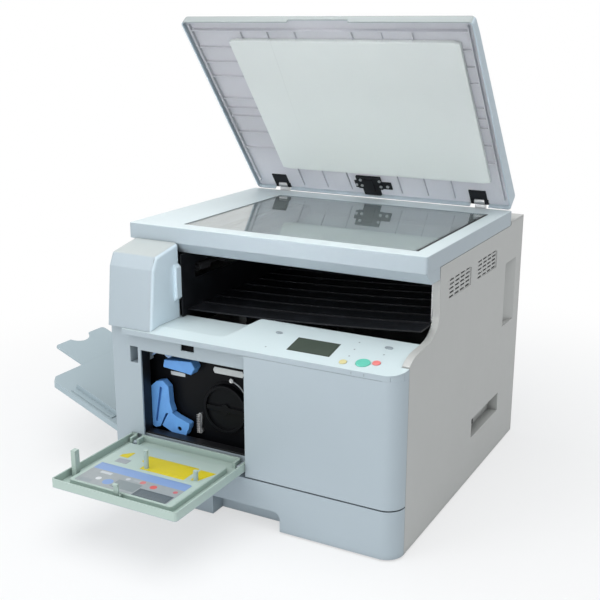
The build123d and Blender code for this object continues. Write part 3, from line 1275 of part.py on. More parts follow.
def lift_plate():
    """Sheet plate that lifts the paper to the pickup roller, hinged at its right end."""
    y0, y1 = TRAY_MID_Y - LIFT_HALF, TRAY_MID_Y + LIFT_HALF
    room = GUIDE_TRAVEL + GUIDE_ROOM
    x0, x1 = GUIDE_X0 - GUIDE_ROOM, GUIDE_X1 + GUIDE_ROOM
    plate = block(PAPER_X0, LIFT_X1, y0, y1, LIFT_Z, LIFT_Z + LIFT_T)
    plate -= block(x0, x1, y0 - PAST, y0 + room, LIFT_Z - PAST, LIFT_Z + LIFT_T + PAST)
    plate -= block(x0, x1, y1 - room, y1 + PAST, LIFT_Z - PAST, LIFT_Z + LIFT_T + PAST)
    pin_end = LIFT_HALF + LUG_T + RUN
    return plate + rod_y(LIFT_X1, TRAY_MID_Y - pin_end, TRAY_MID_Y + pin_end, LIFT_Z + LIFT_T / 2, LIFT_PIN_R)


def side_guide(side):
    """Paper side guide: upright plate on a foot that slides on the tray's floor."""
    edge = TRAY_MID_Y + side * PAPER_W / 2
    z0 = TRAY_Z0 + TRAY_WALL + RUN
    y_out = edge + side * GUIDE_T
    y_foot = edge + side * GUIDE_FOOT
    guide = block(GUIDE_X0, GUIDE_X1, min(edge, y_out), max(edge, y_out), z0, z0 + GUIDE_H)
    guide += block(GUIDE_X0, GUIDE_X1, min(edge, y_foot), max(edge, y_foot), z0, z0 + GUIDE_T)
    web_y, web_z = edge + side * GUIDE_WEB, z0 + GUIDE_H / 2
    near, far = GUIDE_WEB_X
    for x in (GUIDE_X0 + near, GUIDE_X1 - far):
        guide += across([(edge, z0), (y_foot, z0), (web_y, web_z), (edge, web_z)], x, x + GUIDE_T)
    return guide


def guide_end():
    """Tail guide at the right end of the paper."""
    x = PAPER_X0 + PAPER_L
    z0 = TRAY_Z0 + TRAY_WALL + RUN
    y0, y1 = TRAY_MID_Y - END_W / 2, TRAY_MID_Y + END_W / 2
    guide = block(x, x + GUIDE_T, y0, y1, z0, z0 + GUIDE_H)
    guide += block(x, x + END_FOOT, y0, y1, z0, z0 + GUIDE_T)
    foot, top, share = END_WEB
    web_z = z0 + GUIDE_H * share
    for y in (y0 + END_WEB_IN, y1 - END_WEB_IN - GUIDE_T):
        guide += deep([(x, z0), (x + foot, z0), (x + top, web_z), (x, web_z)], y, y + GUIDE_T)
    return guide


def bay_plate():
    """Black inner panel behind the maintenance opening, bored for the toner cartridge."""
    back_y = BAY_PLATE_Y + SHEET
    plate = block(FRAME_X0, BAY_X1, BAY_PLATE_Y, back_y, DECK_Z, BAY_TOP)
    plate += block(BAY_X1 - SHEET, BAY_X1, BAY_PLATE_Y, BAY_PLATE_Y + BAY_FLANGE, DECK_Z, BAY_TOP)
    left, right = BAY_RIB_IN
    for up in BAY_RIBS_Z:
        z = DECK_Z + up
        plate += block(FRAME_X0 + left, BAY_X1 - right, BAY_PLATE_Y - BAY_RIB_OUT, BAY_PLATE_Y, z, z + SHEET)
    bore_y = BAY_PLATE_Y - BAY_RIB_OUT - PAST
    plate -= rod_y(CAP_X, bore_y, back_y + PAST, CAP_Z, CARTRIDGE_R + PAST)
    gap, width, out = CAP_RING
    ring = rod_y(CAP_X, BAY_PLATE_Y - out, BAY_PLATE_Y, CAP_Z, CAP_R + width)
    plate += ring - rod_y(CAP_X, BAY_PLATE_Y - out - PAST, BAY_PLATE_Y + PAST, CAP_Z, CAP_R + gap)
    pin_y = LEVER_Y[0] + LEVER_PIN_SINK
    px, pz = LEVER_PIVOT
    plate += rod_y(px, pin_y, BAY_PLATE_Y, pz, LEVER_PIN_R)
    plate += rod_y(px, LEVER_Y[1] + RUN, BAY_PLATE_Y, pz, LEVER_PIN_R + LEVER_SHOULDER)
    lx, lz = LOCK_PIVOT
    plate += rod_y(lx, pin_y, BAY_PLATE_Y, lz, LEVER_PIN_R)
    return plate + rod_y(lx, LEVER_Y[1] - LOCK_THINNER + RUN, BAY_PLATE_Y, lz, LEVER_PIN_R + LOCK_SHOULDER)


def bay_grip_block():
    """Blue grip of the fixing unit above the release lever."""
    grip = deep(GRIP_BLOCK, LEVER_Y[0], BAY_PLATE_Y, CAP_EDGE_R)
    return chamfer(grip.faces().sort_by(Axis.Y)[0].edges(), PAST)


def release_lever():
    """Blue L-shaped lever: tall grip, elbow and a foot with its boss on the pivot pin."""
    px, pz = LEVER_PIVOT
    lever = deep(LEVER_GRIP, *LEVER_Y, RIM_R - CAP_EDGE_R)
    lever += deep([(px + x, pz + z) for x, z in LEVER_FOOT], *LEVER_Y, CAP_EDGE_R)
    lever += rod_y(px, *LEVER_Y, pz, LEVER_BOSS_R)
    lever -= deep(LEVER_SLOT, LEVER_Y[0] - PAST, LEVER_Y[0] + LEVER_SLOT_T)
    return lever - rod_y(px, LEVER_Y[0] - PAST, LEVER_Y[1] + PAST, pz, LEVER_PIN_R + SHAFT_PLAY)


def lock_lever():
    """Small lock lever with a curved finger, beside the grip block."""
    lx, lz = LOCK_PIVOT
    y0, y1 = LEVER_Y[0], LEVER_Y[1] - LOCK_THINNER
    finger = Spline(*[(lx + x, lz + z) for x, z in LOCK_UPPER])
    lower = Spline(*[(lx + x, lz + z) for x, z in LOCK_LOWER])
    face = make_face([finger, Line(finger @ 1, lower @ 0), lower, Line(lower @ 1, finger @ 0)])
    lever = extrude(Plane.XZ.offset(-y1) * face, y1 - y0)
    lever += rod_y(lx, y0, y1, lz, LEVER_PIN_R + LEVER_SHOULDER)
    return lever - rod_y(lx, y0 - PAST, y1 + PAST, lz, LEVER_PIN_R + SHAFT_PLAY)


def bay_clips():
    """Contact spring and wire clip standing on the bay plate."""
    y = BAY_PLATE_Y
    low_z, high_z = SPRING_Z
    low_r, high_r = SPRING_R
    low_out, high_out, blade_out = SPRING_OUT
    spring = rod_y(SPRING_X, y - high_out, y, high_z, high_r)
    spring += deep([(SPRING_X + x, z) for x, z in SPRING_BLADE], y - blade_out, y)
    spring += rod_y(SPRING_X, y - low_out, y, low_z, low_r)
    clip = rod_y(CLIP_X, y - CLIP_OUT - PAST, y, CLIP_Z, CLIP_STEM_R)
    clip += Pos(CLIP_X, y - CLIP_OUT, CLIP_Z) * Rot(90, 0, 0) * Torus(*CLIP_RING)
    return Compound([spring, clip])


def toner_cartridge():
    """Toner bottle: ribbed cap with a grip web in front, plain body behind."""
    cap = rod_y(CAP_X, CAP_Y, BAY_PLATE_Y - BAY_RIB_OUT, CAP_Z, CAP_R)
    cap = fillet(cap.edges(), CAP_EDGE_R)
    cap -= rod_y(CAP_X, CAP_Y - PAST, CAP_Y + CAP_RIM, CAP_Z, CAP_R - CAP_RIM)
    web_x, web_y = CAP_R - CAP_RIM - PAST, (CAP_Y + PAST, CAP_Y + CAP_RIM + PAST)
    cap += block(CAP_X - web_x, CAP_X + web_x, *web_y, CAP_Z - CAP_WEB / 2, CAP_Z + CAP_WEB / 2)
    cap += rod_y(CAP_X, *web_y, CAP_Z, CAP_HUB_R)
    neck_y = BAY_PLATE_Y - BAY_RIB_OUT - PAST
    return cap + rod_y(CAP_X, neck_y, BAY_PLATE_Y + CARTRIDGE_L, CAP_Z, CARTRIDGE_R)


def cartridge_cradle():
    """Half-round steel cradle that carries the toner bottle behind the bay plate."""
    y0, y1 = BAY_PLATE_Y + SHEET, BAY_PLATE_Y + CARTRIDGE_L
    inner_r = CARTRIDGE_R + RUN
    cradle = rod_y(CAP_X, y0, y1, CAP_Z, inner_r + SHEET)
    cradle -= rod_y(CAP_X, y0 - PAST, y1 + PAST, CAP_Z, inner_r)
    cradle &= block(CAP_X - 2 * CAP_R, CAP_X + 2 * CAP_R, y0, y1, DECK_Z, CAP_Z)
    half, top = CAP_R / 2, CAP_Z - CARTRIDGE_R / 2
    for y in (y0 + CRADLE_LEG, y1 - 2 * CRADLE_LEG):
        leg = block(CAP_X - half, CAP_X + half, y, y + CRADLE_LEG, DECK_Z, top)
        cradle += leg - rod_y(CAP_X, y - PAST, y + CRADLE_LEG + PAST, CAP_Z, inner_r + SHEET / 2)
    return cradle


def power_bezel():
    """Black plate in the switch recess with the rocker's window and the mains inlet."""
    x1 = BODY_W - RECESS_DEPTH
    x0 = x1 - BEZEL_T
    y0, y1 = RECESS_Y0 + WALL, BEZEL_Y1
    z0, z1 = RECESS_Z0 + WALL, RECESS_Z1 - WALL
    mid, lap = (z0 + z1) / 2, WALL / 2
    plate = block(x0, x1, y0, y1, z0, z1)
    plate += block(x0 - WALL, x1 - WALL, y0 - lap, y1 + lap, z0 - lap, z1 + lap)
    wide, high = ROCKER_W / 2 + RUN, ROCKER_H / 2 + RUN
    plate -= block(x0 - 2 * BEZEL_T, x1 + PAST, ROCKER_Y - wide, ROCKER_Y + wide, mid - high, mid + high)
    wide, high = INLET_W / 2, INLET_H / 2
    plate -= block(x0, x1 + PAST, INLET_Y - wide, INLET_Y + wide, mid - high, mid + high)
    pin_end = ROCKER_W / 2 + ROCKER_PIN_L + RUN
    plate -= rod_y(x0, ROCKER_Y - pin_end, ROCKER_Y + pin_end, mid, ROCKER_PIN_R + SHAFT_PLAY)
    for y in (INLET_Y - BLADE_PITCH, INLET_Y, INLET_Y + BLADE_PITCH):
        blade_y = (y - BLADE_W / 2, y + BLADE_W / 2)
        plate += block(x0 - PAST, x1 - BLADE_SINK, *blade_y, mid - BLADE_H / 2, mid + BLADE_H / 2)
    return plate


def power_rocker():
    """Rocker of the mains switch on two short pins in the plate."""
    pivot_x = BODY_W - RECESS_DEPTH - BEZEL_T
    mid = (RECESS_Z0 + RECESS_Z1) / 2
    half = ROCKER_H / 2
    outline = [
        (pivot_x - ROCKER_BACK, mid - half),
        (pivot_x + ROCKER_LOW, mid - half),
        (pivot_x + ROCKER_BACK, mid),
        (pivot_x + ROCKER_HIGH, mid + half - PAST),
        (pivot_x - PAST, mid + half),
    ]
    rocker = deep(outline, ROCKER_Y - ROCKER_W / 2, ROCKER_Y + ROCKER_W / 2)
    pin_end = ROCKER_W / 2 + ROCKER_PIN_L
    return rocker + rod_y(pivot_x, ROCKER_Y - pin_end, ROCKER_Y + pin_end, mid, ROCKER_PIN_R)


def left_door():
    """Jam-access door: moulded pan with a well that takes the folded feed tray, hinged on a rear pin."""
    y0, y1, z0, z1 = LEFT_DOOR_Y0, LEFT_DOOR_Y1, LEFT_DOOR_Z0, LEFT_DOOR_Z1
    skin, inner = LEFT_SKIN_X + WALL, LEFT_SKIN_X + WALL / 2
    door = block(LEFT_SKIN_X, LEFT_BACK_X, y0, y1, z0, z1)
    door = fillet(door.faces().sort_by(Axis.X)[0].edges(), LEFT_EDGE_R)
    door -= block(skin, LEFT_BACK_X + PAST, y0 + WALL, y1 - WALL, z0 + WALL, z1 - WALL)
    w0, w1 = MP_Y0 - WELL_GAP, MP_Y1 + WELL_GAP
    door += block(inner, LEFT_BACK_X, w0 - WALL, w1 + WALL, WELL_Z0 - WALL, WELL_Z1 + WALL)
    deep_z = (WELL_DEEP_Z - WALL, WELL_Z1 + WALL)
    door += block(LEFT_BACK_X - WALL, LEFT_DOOR_IN, w0 - WALL, w1 + WALL, *deep_z)
    door -= block(LEFT_SKIN_X - PAST, WELL_BACK_X, w0, w1, WELL_Z0, WELL_Z1)
    door -= block(-RUN, LEFT_DOOR_IN, y0 - PAST, SCANNER_Y0 + SEAM, SCOOP_Z - WALL, z1 + PAST)
    door -= block(LEFT_SKIN_X - PAST, LEFT_DOOR_IN - WALL, w0, w1, WELL_DEEP_Z, WELL_Z1)
    e0, e1 = EXT_Y0 - WELL_GAP, EXT_Y1 + WELL_GAP
    door += block(inner, EXT_WELL_X + WALL, e0 - WALL, e1 + WALL, WELL_Z1, EXT_WELL_Z1 + WALL)
    door -= block(LEFT_SKIN_X - PAST, EXT_WELL_X, e0, e1, WELL_Z1 - WALL, EXT_WELL_Z1)
    door -= rod_y(MP_AXIS_X, MP_Y0 - MP_PIN_L, MP_Y1 + MP_PIN_L, MP_AXIS_Z, MP_PIN_R + SHAFT_PLAY)
    for up in LEFT_KNUCKLES_UP:
        low, high = z0 + up, z0 + up + LEFT_KNUCKLE_H
        arm = LEFT_ARM_T / 2
        door += block(LEFT_AXIS_X - arm, LEFT_AXIS_X + arm, y1 - WALL, LEFT_AXIS_Y, low, high)
        door += rod_z(LEFT_AXIS_X, LEFT_AXIS_Y, low, high, LEFT_KNUCKLE_R)
        door -= rod_z(LEFT_AXIS_X, LEFT_AXIS_Y, low - PAST, high + PAST, LEFT_PIN_R + SHAFT_PLAY)
    return door


def left_hinges():
    """Fixed pins of the left door on two brackets behind the left cover's opening."""
    brackets = []
    near, far = LEFT_EAR_Y
    for up in LEFT_KNUCKLES_UP:
        z = LEFT_DOOR_Z0 + up
        z0, z1 = z - RUN - LEFT_EAR_T, z + LEFT_KNUCKLE_H + RUN
        pin = rod_z(LEFT_AXIS_X, LEFT_AXIS_Y, z0, z1 + LEFT_EAR_T, LEFT_PIN_R)
        for low in (z0, z1):
            high = low + LEFT_EAR_T
            pin += rod_z(LEFT_AXIS_X, LEFT_AXIS_Y, low, high, LEFT_KNUCKLE_R)
            pin += block(LEFT_AXIS_X, 0, LEFT_AXIS_Y - near, LEFT_AXIS_Y + far, low, high)
        leaf_y = (LEFT_AXIS_Y + 3 * WALL, LEFT_AXIS_Y + LEFT_LEAF_Y)
        brackets.append(pin + block(-LEFT_LEAF_T, 0, *leaf_y, z0, z1 + LEFT_EAR_T))
    return Compound(brackets)


def tilted(shape):
    """A piece of the feed tray, drawn level, turned to the tray's slope."""
    return turned_y(shape, MP_TILT, MP_AXIS_X, MP_AXIS_Z)


def mp_tray():
    """Multi-purpose tray: ribbed plate with side walls, drawn level and then tilted."""
    x0, x1 = MP_AXIS_X - MP_LENGTH, MP_AXIS_X + MP_TOP
    z1 = MP_AXIS_Z + MP_TOP
    z0 = z1 - MP_T
    plate_z = z1 - WALL
    tray = block(x0, x1, MP_Y0, MP_Y1, z0, z1)
    tray = chamfer(tray.edges().filter_by(Axis.Z).sort_by(Axis.X)[0:2], MP_CORNER)
    tray -= block(x0 + MP_CORNER, x1 - 2 * WALL, MP_Y0 + WALL, MP_Y1 - WALL, z0 - PAST, plate_z)
    slot_z = plate_z - 2 * RUN - EXT_T
    e0, e1 = EXT_Y0 - RUN, EXT_Y1 + RUN
    tray -= block(x0 - PAST, x0 + 2 * MP_CORNER, e0, e1, slot_z, plate_z)
    for low, high in ((e0 - WALL, e0), (e1, e1 + WALL)):
        tray += block(x0 + MP_RAIL_IN, x1 - 2 * WALL - PAST, low, high, slot_z - WALL, plate_z)
    tray += block(x0 + MP_RAIL_IN, x0 + EXT_HOLD / 2, e0 - WALL, e1 + WALL, slot_z - WALL, slot_z)
    pin = MP_PIN_L - MP_PIN_PLAY
    return tilted(tray + rod_y(MP_AXIS_X, MP_Y0 - pin, MP_Y1 + pin, MP_AXIS_Z, MP_PIN_R))


def mp_extension():
    """Pull-out extension that slides under the tray's plate, hollowed at its outer edge."""
    x0 = MP_AXIS_X - MP_LENGTH - EXT_OUT
    x1 = MP_AXIS_X - MP_LENGTH + EXT_HOLD
    z1 = MP_AXIS_Z + MP_TOP - WALL - RUN
    plate = block(x0, x1, EXT_Y0, EXT_Y1, z1 - EXT_T, z1)
    plate = fillet(plate.edges().filter_by(Axis.Z).sort_by(Axis.X)[0:2], EXT_CORNER)
    mid = (EXT_Y0 + EXT_Y1) / 2
    return tilted(plate - Pos(x0 - EXT_NOTCH_R / 2, mid, z1) * Cylinder(EXT_NOTCH_R, 4 * EXT_T))


def mp_guide(front):
    """Low paper guide on the feed tray."""
    z0 = MP_AXIS_Z + MP_TOP + RUN
    y = MP_Y0 + MP_GUIDE_IN if front else MP_Y1 - MP_GUIDE_IN
    guide = block(*MP_GUIDE_X, y - WALL / 2, y + WALL / 2, z0, z0 + MP_GUIDE_H)
    foot = (y - MP_GUIDE_FOOT, y) if front else (y, y + MP_GUIDE_FOOT)
    return tilted(guide + block(*MP_GUIDE_X, *foot, z0, z0 + WALL / 2))


def moved(shape):
    """Brings a piece from the drawing's corner to the part's own origin."""
    return Pos(-BODY_W / 2, -BODY_D / 2, 0) * shape


NODES = {
    "rubber_feet": rubber_feet,
    "base_pan": base_pan,
    "engine_deck": engine_deck,
    "engine_frame": engine_frame,
    "right_cover": right_cover,
    "left_cover": left_cover,
    "rear_cover": rear_cover,
    "front_cover": front_cover,
    "opening_frame": opening_frame,
    "door_panel": door_panel,
    "door_liner": door_liner,
    "panel_housing": panel_housing,
    "display": display,
    "status_lamps": status_lamps,
    "column_cover": column_cover,
    "delivery_tray": delivery_tray,
    "delivery_walls": delivery_walls,
    "exit_roller": exit_roller,
    "exit_guide": exit_guide,
    "scanner_base": scanner_base,
    "scanner_top": scanner_top,
    "platen_glass": platen_glass,
    "glass_gasket": glass_gasket,
    "scan_rail": scan_rail,
    "scan_carriage": scan_carriage,
    "scan_belt": scan_belt,
    "cover_shell": cover_shell,
    "cover_liner": cover_liner,
    "platen_pad": platen_pad,
    "cover_bracket": cover_bracket,
    "cover_screws": cover_screws,
    "hinge_bases": hinge_bases,
    "hinge_leaves": hinge_leaves,
    "drawer_front": drawer_front,
    "drawer_tray": drawer_tray,
    "lift_plate": lift_plate,
    "guide_end": guide_end,
    "bay_plate": bay_plate,
    "bay_grip_block": bay_grip_block,
    "release_lever": release_lever,
    "lock_lever": lock_lever,
    "bay_clips": bay_clips,
    "toner_cartridge": toner_cartridge,
    "cartridge_cradle": cartridge_cradle,
    "power_bezel": power_bezel,
    "power_rocker": power_rocker,
    "left_door": left_door,
    "left_hinges": left_hinges,
    "mp_tray": mp_tray,
    "mp_extension": mp_extension,
}


def main():
    os.makedirs("parts", exist_ok=True)
    pieces = {name: make() for name, make in NODES.items()}
    pieces.update({name: panel_key(name) for name in KEYS})
    pieces["guide_front"] = side_guide(-1)
    pieces["guide_rear"] = side_guide(1)
    pieces["mp_guide_front"] = mp_guide(True)
    pieces["mp_guide_rear"] = mp_guide(False)
    for name, shape in pieces.items():
        export_step(moved(shape), f"parts/{name}.step")


if __name__ == "__main__":
    main()
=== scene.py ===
"""Looks of a multifunction printer with its platen cover raised and its front door open.

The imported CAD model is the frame. The finishes, the pad, the labels, the panel's corner and the
bay's tags, spring and lead are made here. Places are measured from the casing's left, front and
floor, in millimetres.
"""

import math

import bmesh
import bpy
import numpy as np
from bpy.props import FloatProperty, FloatVectorProperty, IntProperty, PointerProperty
from mathutils import Euler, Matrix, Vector


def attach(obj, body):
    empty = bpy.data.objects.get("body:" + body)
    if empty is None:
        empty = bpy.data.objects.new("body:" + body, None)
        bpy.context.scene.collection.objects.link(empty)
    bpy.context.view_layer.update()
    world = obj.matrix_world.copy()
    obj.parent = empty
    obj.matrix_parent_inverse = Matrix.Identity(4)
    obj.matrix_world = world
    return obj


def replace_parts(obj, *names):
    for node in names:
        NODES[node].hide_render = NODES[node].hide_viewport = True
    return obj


bl_info = {
    "name": "Printer looks",
    "version": (1, 0, 0),
    "blender": (4, 5, 0),
    "location": "View3D > Sidebar > Printer",
    "description": "Finishes and small pieces of a multifunction printer built on its CAD frame",
    "category": "Object",
}

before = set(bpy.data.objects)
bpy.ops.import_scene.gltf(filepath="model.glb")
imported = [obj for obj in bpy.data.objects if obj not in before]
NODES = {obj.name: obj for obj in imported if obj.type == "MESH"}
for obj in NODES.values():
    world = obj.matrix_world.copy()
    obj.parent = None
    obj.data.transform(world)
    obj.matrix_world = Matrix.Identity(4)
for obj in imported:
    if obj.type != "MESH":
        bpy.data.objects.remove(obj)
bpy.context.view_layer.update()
MM = 0.001
ORIGIN = np.array((-272.0, -294.5, 0.0))

# Raised cover: its hinge line in the part's frame, its angle and its length
COVER_AXIS = np.array((0.0, 217.0, 480.0)) * MM
COVER_OPEN = math.radians(51.66)
COVER_LENGTH = 419.5

# Places on the casing
COLUMN_W = 92.0
COLUMN_BACK = 120.0
DOOR_SKIN_Z = 95.0
BAY_X = (57.0, 274.0)
BAY_Z = (111.0, 268.5)
BAY_RIM_Y = 18.2
STRIP_X = (60.0, 500.0)
STRIP_Y = (436.0, 444.0)
STRIP_Z = 466.0
TICK_X = (80.0, 480.0)
TICK_Y = (437.0, 441.0)
LCD_X = (342.0, 411.0)
LCD_Y = (27.0, 63.0)

# The panel's lip round its front corner
LIP_CENTRE = (514.0, 30.0)
LIP_RADIUS = 29.9
LIP_WIDTH = 2.2
LIP_TURN = (-92.0, 2.0)
LIP_LOW = 293.4
LIP_HIGH = 301.4
PANEL_RISE = 0.2

# The pad under the closed cover
PAD_LOW = (87.0, 133.0, 467.7)
PAD_HIGH = (515.0, 450.5, 476.2)
PAD_CORNER = 3.0
PAD_EDGE = 1.2
PAD_WAVES = (0.35, 0.22, 0.15)
PAD_SINK = 0.4
CREASE_X = 162.0
CREASE_Z = 620.0
CREASE_LEAN = 0.07

# Small pieces of the maintenance bay
BAY_TAGS = {"bay_tag": (177.0, 238.0, 231.0, 242.0), "grip_tag": (89.0, 119.0, 212.0, 219.0)}
TAG_Y = 60.0
TAG_T = 0.3
TAG_CORNER = 1.0
TAG_EDGE = 0.1
SPRING_FOOT = (150.0, 52.0, 118.0)
SPRING_TOP_Z = 153.0
LEAD_START = (216.0, 55.0, 224.0)
LEAD_END = (240.0, 57.0, 206.0)
LEAD_SAG = (3.0, -3.0, 4.0)

# Plain labels inside the front door, as outlines in (x, y)
LABEL_Z = 107.0
LABEL_EDGE = 0.05
CARD = ((63.0, -102.0), (242.0, -102.0), (242.0, -171.5), (63.0, -171.5))
YELLOW = (0.66, 0.55, 0.02)
LABELS = {
    "guide_card": (CARD, None),
    "yellow_label": (((118, -47), (218, -47), (218, -93), (132, -93), (132, -76), (118, -68)), YELLOW),
    "yellow_tab_left": (((73, -62), (86, -49), (90, -49), (90, -70), (73, -70)), YELLOW),
    "yellow_tab_right": (((222, -50), (252, -50), (240, -84), (228, -88)), YELLOW),
    "grey_tab": (((78, -75), (102, -75), (102, -90), (78, -90)), (0.34, 0.37, 0.39)),
}
CARD_FIELDS = (
    ((63, 242, -124, -102), (0.24, 0.36, 0.62)),
    ((176, 240, -172, -148), (0.105, 0.13, 0.145)),
    ((128, 174, -165, -139), (0.24, 0.28, 0.29)),
    ((84, 106, -134, -127), (0.55, 0.58, 0.60)),
    ((70, 92, -169, -159), (0.30, 0.34, 0.36)),
    ((150, 172, -134, -128), (0.40, 0.43, 0.45)),
)
CARD_SPOTS = (
    ((168, -131), 5.0, (0.60, 0.20, 0.20)),
    ((192, -136), 6.0, (0.66, 0.13, 0.12)),
    ((232, -134), 4.0, (0.56, 0.16, 0.18)),
    ((117, -154), 9.0, (0.22, 0.34, 0.60)),
    ((96, -151), 5.0, (0.66, 0.68, 0.70)),
    ((140, -132), 4.0, (0.55, 0.57, 0.60)),
)
CARD_STRIPES = ((182.0, 236.0), (-169.0, -151.0))

# Lamps, in metres: place, aim, size and spread
LAMPS = {
    "top": ((0.1, -0.45, 2.4), (0.0, 0.0, 0.4), 2.4, math.pi),
    "key": ((-1.5, -2.2, 1.9), (0.0, 0.0, 0.3), 1.5, math.pi),
    "low": ((0.1, -2.7, 0.25), (0.0, 0.0, 0.6), 1.2, math.pi),
    "cover": ((0.1, -2.6, 0.62), (0.0, 0.2, 0.62), 0.3, math.radians(17)),
}
SENSOR_WIDTH = 36.0
FLOOR_RADIUS = 14.0
FLOOR_SIDES = 64
FLOOR_FADE = (0.45, 1.3)
DIRECT_RAYS = ("Is Camera Ray", "Is Glossy Ray", "Is Transmission Ray")

# CAD nodes that share a finish
CASING_NODES = ("front_cover", "scanner_base", "drawer_front")
SIDE_NODES = ("right_cover", "left_cover", "rear_cover", "left_door")
TRAY_NODES = ("drawer_tray", "mp_tray", "mp_extension", "mp_guide_front", "mp_guide_rear")
STEEL_NODES = (
    "base_pan", "engine_deck", "engine_frame", "scan_rail", "hinge_bases", "cover_screws", "lift_plate",
    "left_hinges", "bay_clips", "cartridge_cradle",
)
RUBBER_NODES = ("rubber_feet", "exit_roller", "scan_belt")
BLACK_NODES = (
    "delivery_tray", "delivery_walls", "exit_guide", "glass_gasket", "scan_carriage", "hinge_leaves",
    "cover_bracket", "power_bezel", "power_rocker",
)
BLUE_NODES = ("bay_grip_block", "release_lever", "guide_front", "guide_rear", "guide_end")


def colour_setting(name, text, value):
    """A colour that the user may change."""
    limits = {"min": 0, "max": 1}
    return FloatVectorProperty(name=name, description=text, subtype="COLOR", size=3, default=value, **limits)


def length_setting(name, text, value):
    """A length in metres that the user may change."""
    return FloatProperty(name=name, description=text, unit="LENGTH", min=0, default=value)


def power_setting(name, text, value):
    """A lamp's power that the user may change."""
    return FloatProperty(name=name, description=text, unit="POWER", min=0, default=value)


class FinishSettings(bpy.types.PropertyGroup):
    """Colours and grain of the finishes."""

    casing: colour_setting("Casing", "Pale moulded plastic of the outer covers", (0.425, 0.495, 0.54))
    # Painted light: the panel's colour is a lighter copy of the casing for its up-facing faces, where the
    # light from above falls.
    panel: colour_setting("Panel top", "Brighter face of the control panel", (0.62, 0.72, 0.74))
    door: colour_setting("Door", "Faintly green plastic inside the front door", (0.46, 0.57, 0.52))
    tray: colour_setting("Feed tray", "Cooler plastic of the feed tray", (0.41, 0.50, 0.54))
    side: colour_setting("Side covers", "Warmer moulded plastic of the side covers", (0.50, 0.505, 0.49))
    liner: colour_setting("Liner", "Lilac grey plastic inside the cover", (0.54, 0.545, 0.58))
    pad: colour_setting("Platen pad", "White film of the pad", (0.66, 0.70, 0.685))
    black: colour_setting("Inner black", "Black plastic of the paper path and bay", (0.006, 0.0065, 0.008))
    blue: colour_setting("Touch point", "Blue plastic of the parts that are handled", (0.155, 0.41, 0.97))
    steel: colour_setting("Zinc sheet", "Zinc-plated steel sheet", (0.56, 0.57, 0.58))
    rubber: colour_setting("Rubber", "Rubber of feet, belts and rollers", (0.022, 0.022, 0.024))
    start: colour_setting("Start key", "Green of the start key", (0.14, 0.58, 0.45))
    stop: colour_setting("Stop key", "Red of the stop key", (0.85, 0.24, 0.23))
    reset: colour_setting("Reset key", "Amber of the reset key", (0.70, 0.63, 0.31))
    small_key: colour_setting("Small key", "Grey of the small keys", (0.30, 0.35, 0.38))
    grain: length_setting("Grain", "Spacing of the mould grain", 0.0007)
    grain_depth: length_setting("Grain depth", "Depth of the mould grain", 0.00003)
    edge: length_setting("Edge radius", "Radius that the light sees on moulded edges", 0.0007)


class StageSettings(bpy.types.PropertyGroup):
    """Camera, lamps and floor."""

    position: FloatVectorProperty(
        name="Camera", description="Place of the camera", subtype="TRANSLATION", size=3,
        default=(0.78139, -1.53652, 0.80239))
    azimuth: FloatProperty(
        name="Azimuth", description="Camera's turn about the vertical", subtype="ANGLE",
        default=math.radians(28.58))
    elevation: FloatProperty(
        name="Elevation", description="Camera's tilt below the horizon", subtype="ANGLE",
        default=math.radians(15.86))
    lens: FloatProperty(name="Lens", description="Focal length on a 36 mm sensor", min=10, default=58.83)
    top_power: power_setting("Top lamp", "Power of the lamp above", 40)
    key_power: power_setting("Key lamp", "Power of the lamp at the front left", 14)
    low_power: power_setting("Low lamp", "Power of the low lamp in front", 16)
    cover_power: power_setting("Cover lamp", "Power of the narrow lamp towards the raised cover", 0.22)
    ambient: FloatProperty(name="Ambient", description="Strength of the even light", min=0, default=0.46)
    floor_glow: FloatProperty(
        name="Floor white", description="Share of plain white that the camera sees on the floor",
        min=0, max=1, default=0.6)


class DetailSettings(bpy.types.PropertyGroup):
    """Sizes of the small pieces made here."""

    spring_radius: length_setting("Spring radius", "Radius of the spring's coil", 0.0035)
    spring_wire: length_setting("Spring wire", "Radius of the spring's wire", 0.0006)
    spring_turns: IntProperty(name="Turns", description="Turns of the spring", min=2, default=11)
    lead_radius: length_setting("Lead radius", "Radius of the short sensor lead", 0.0011)
    label_thickness: length_setting("Label", "Thickness of the printed labels", 0.0002)


# Shader values

class Signal:
    """A socket of a material's nodes; Python's operators on it add Math nodes."""

    def __init__(self, look, socket):
        self.look, self.socket = look, socket

    def __add__(self, other):
        return self.look.math("ADD", self, other)

    def __radd__(self, other):
        return self.look.math("ADD", other, self)

    def __sub__(self, other):
        return self.look.math("SUBTRACT", self, other)

    def __rsub__(self, other):
        return self.look.math("SUBTRACT", other, self)

    def __mul__(self, other):
        return self.look.math("MULTIPLY", self, other)

    def __lt__(self, other):
        return self.look.math("LESS_THAN", self, other)

    def __gt__(self, other):
        return self.look.math("GREATER_THAN", self, other)

    def near(self, centre, reach):
        """One where the value is within reach of the centre, and zero elsewhere."""
        return self.look.math("COMPARE", self, centre, reach)

    def between(self, low, high):
        """One between the two values."""
        return self.near((low + high) / 2, (high - low) / 2)

    def rise(self, low, high):
        """A smooth rise from zero at low to one at high."""
        settings = {"interpolation_type": "SMOOTHSTEP"}
        inputs = {"Value": self, "From Min": low, "From Max": high}
        return self.look.out("ShaderNodeMapRange", settings, inputs)

    def at_most(self, other):
        """The lower of the two values."""
        return self.look.math("MINIMUM", self, other)

    def at_least(self, other):
        """The higher of the two values."""
        return self.look.math("MAXIMUM", self, other)


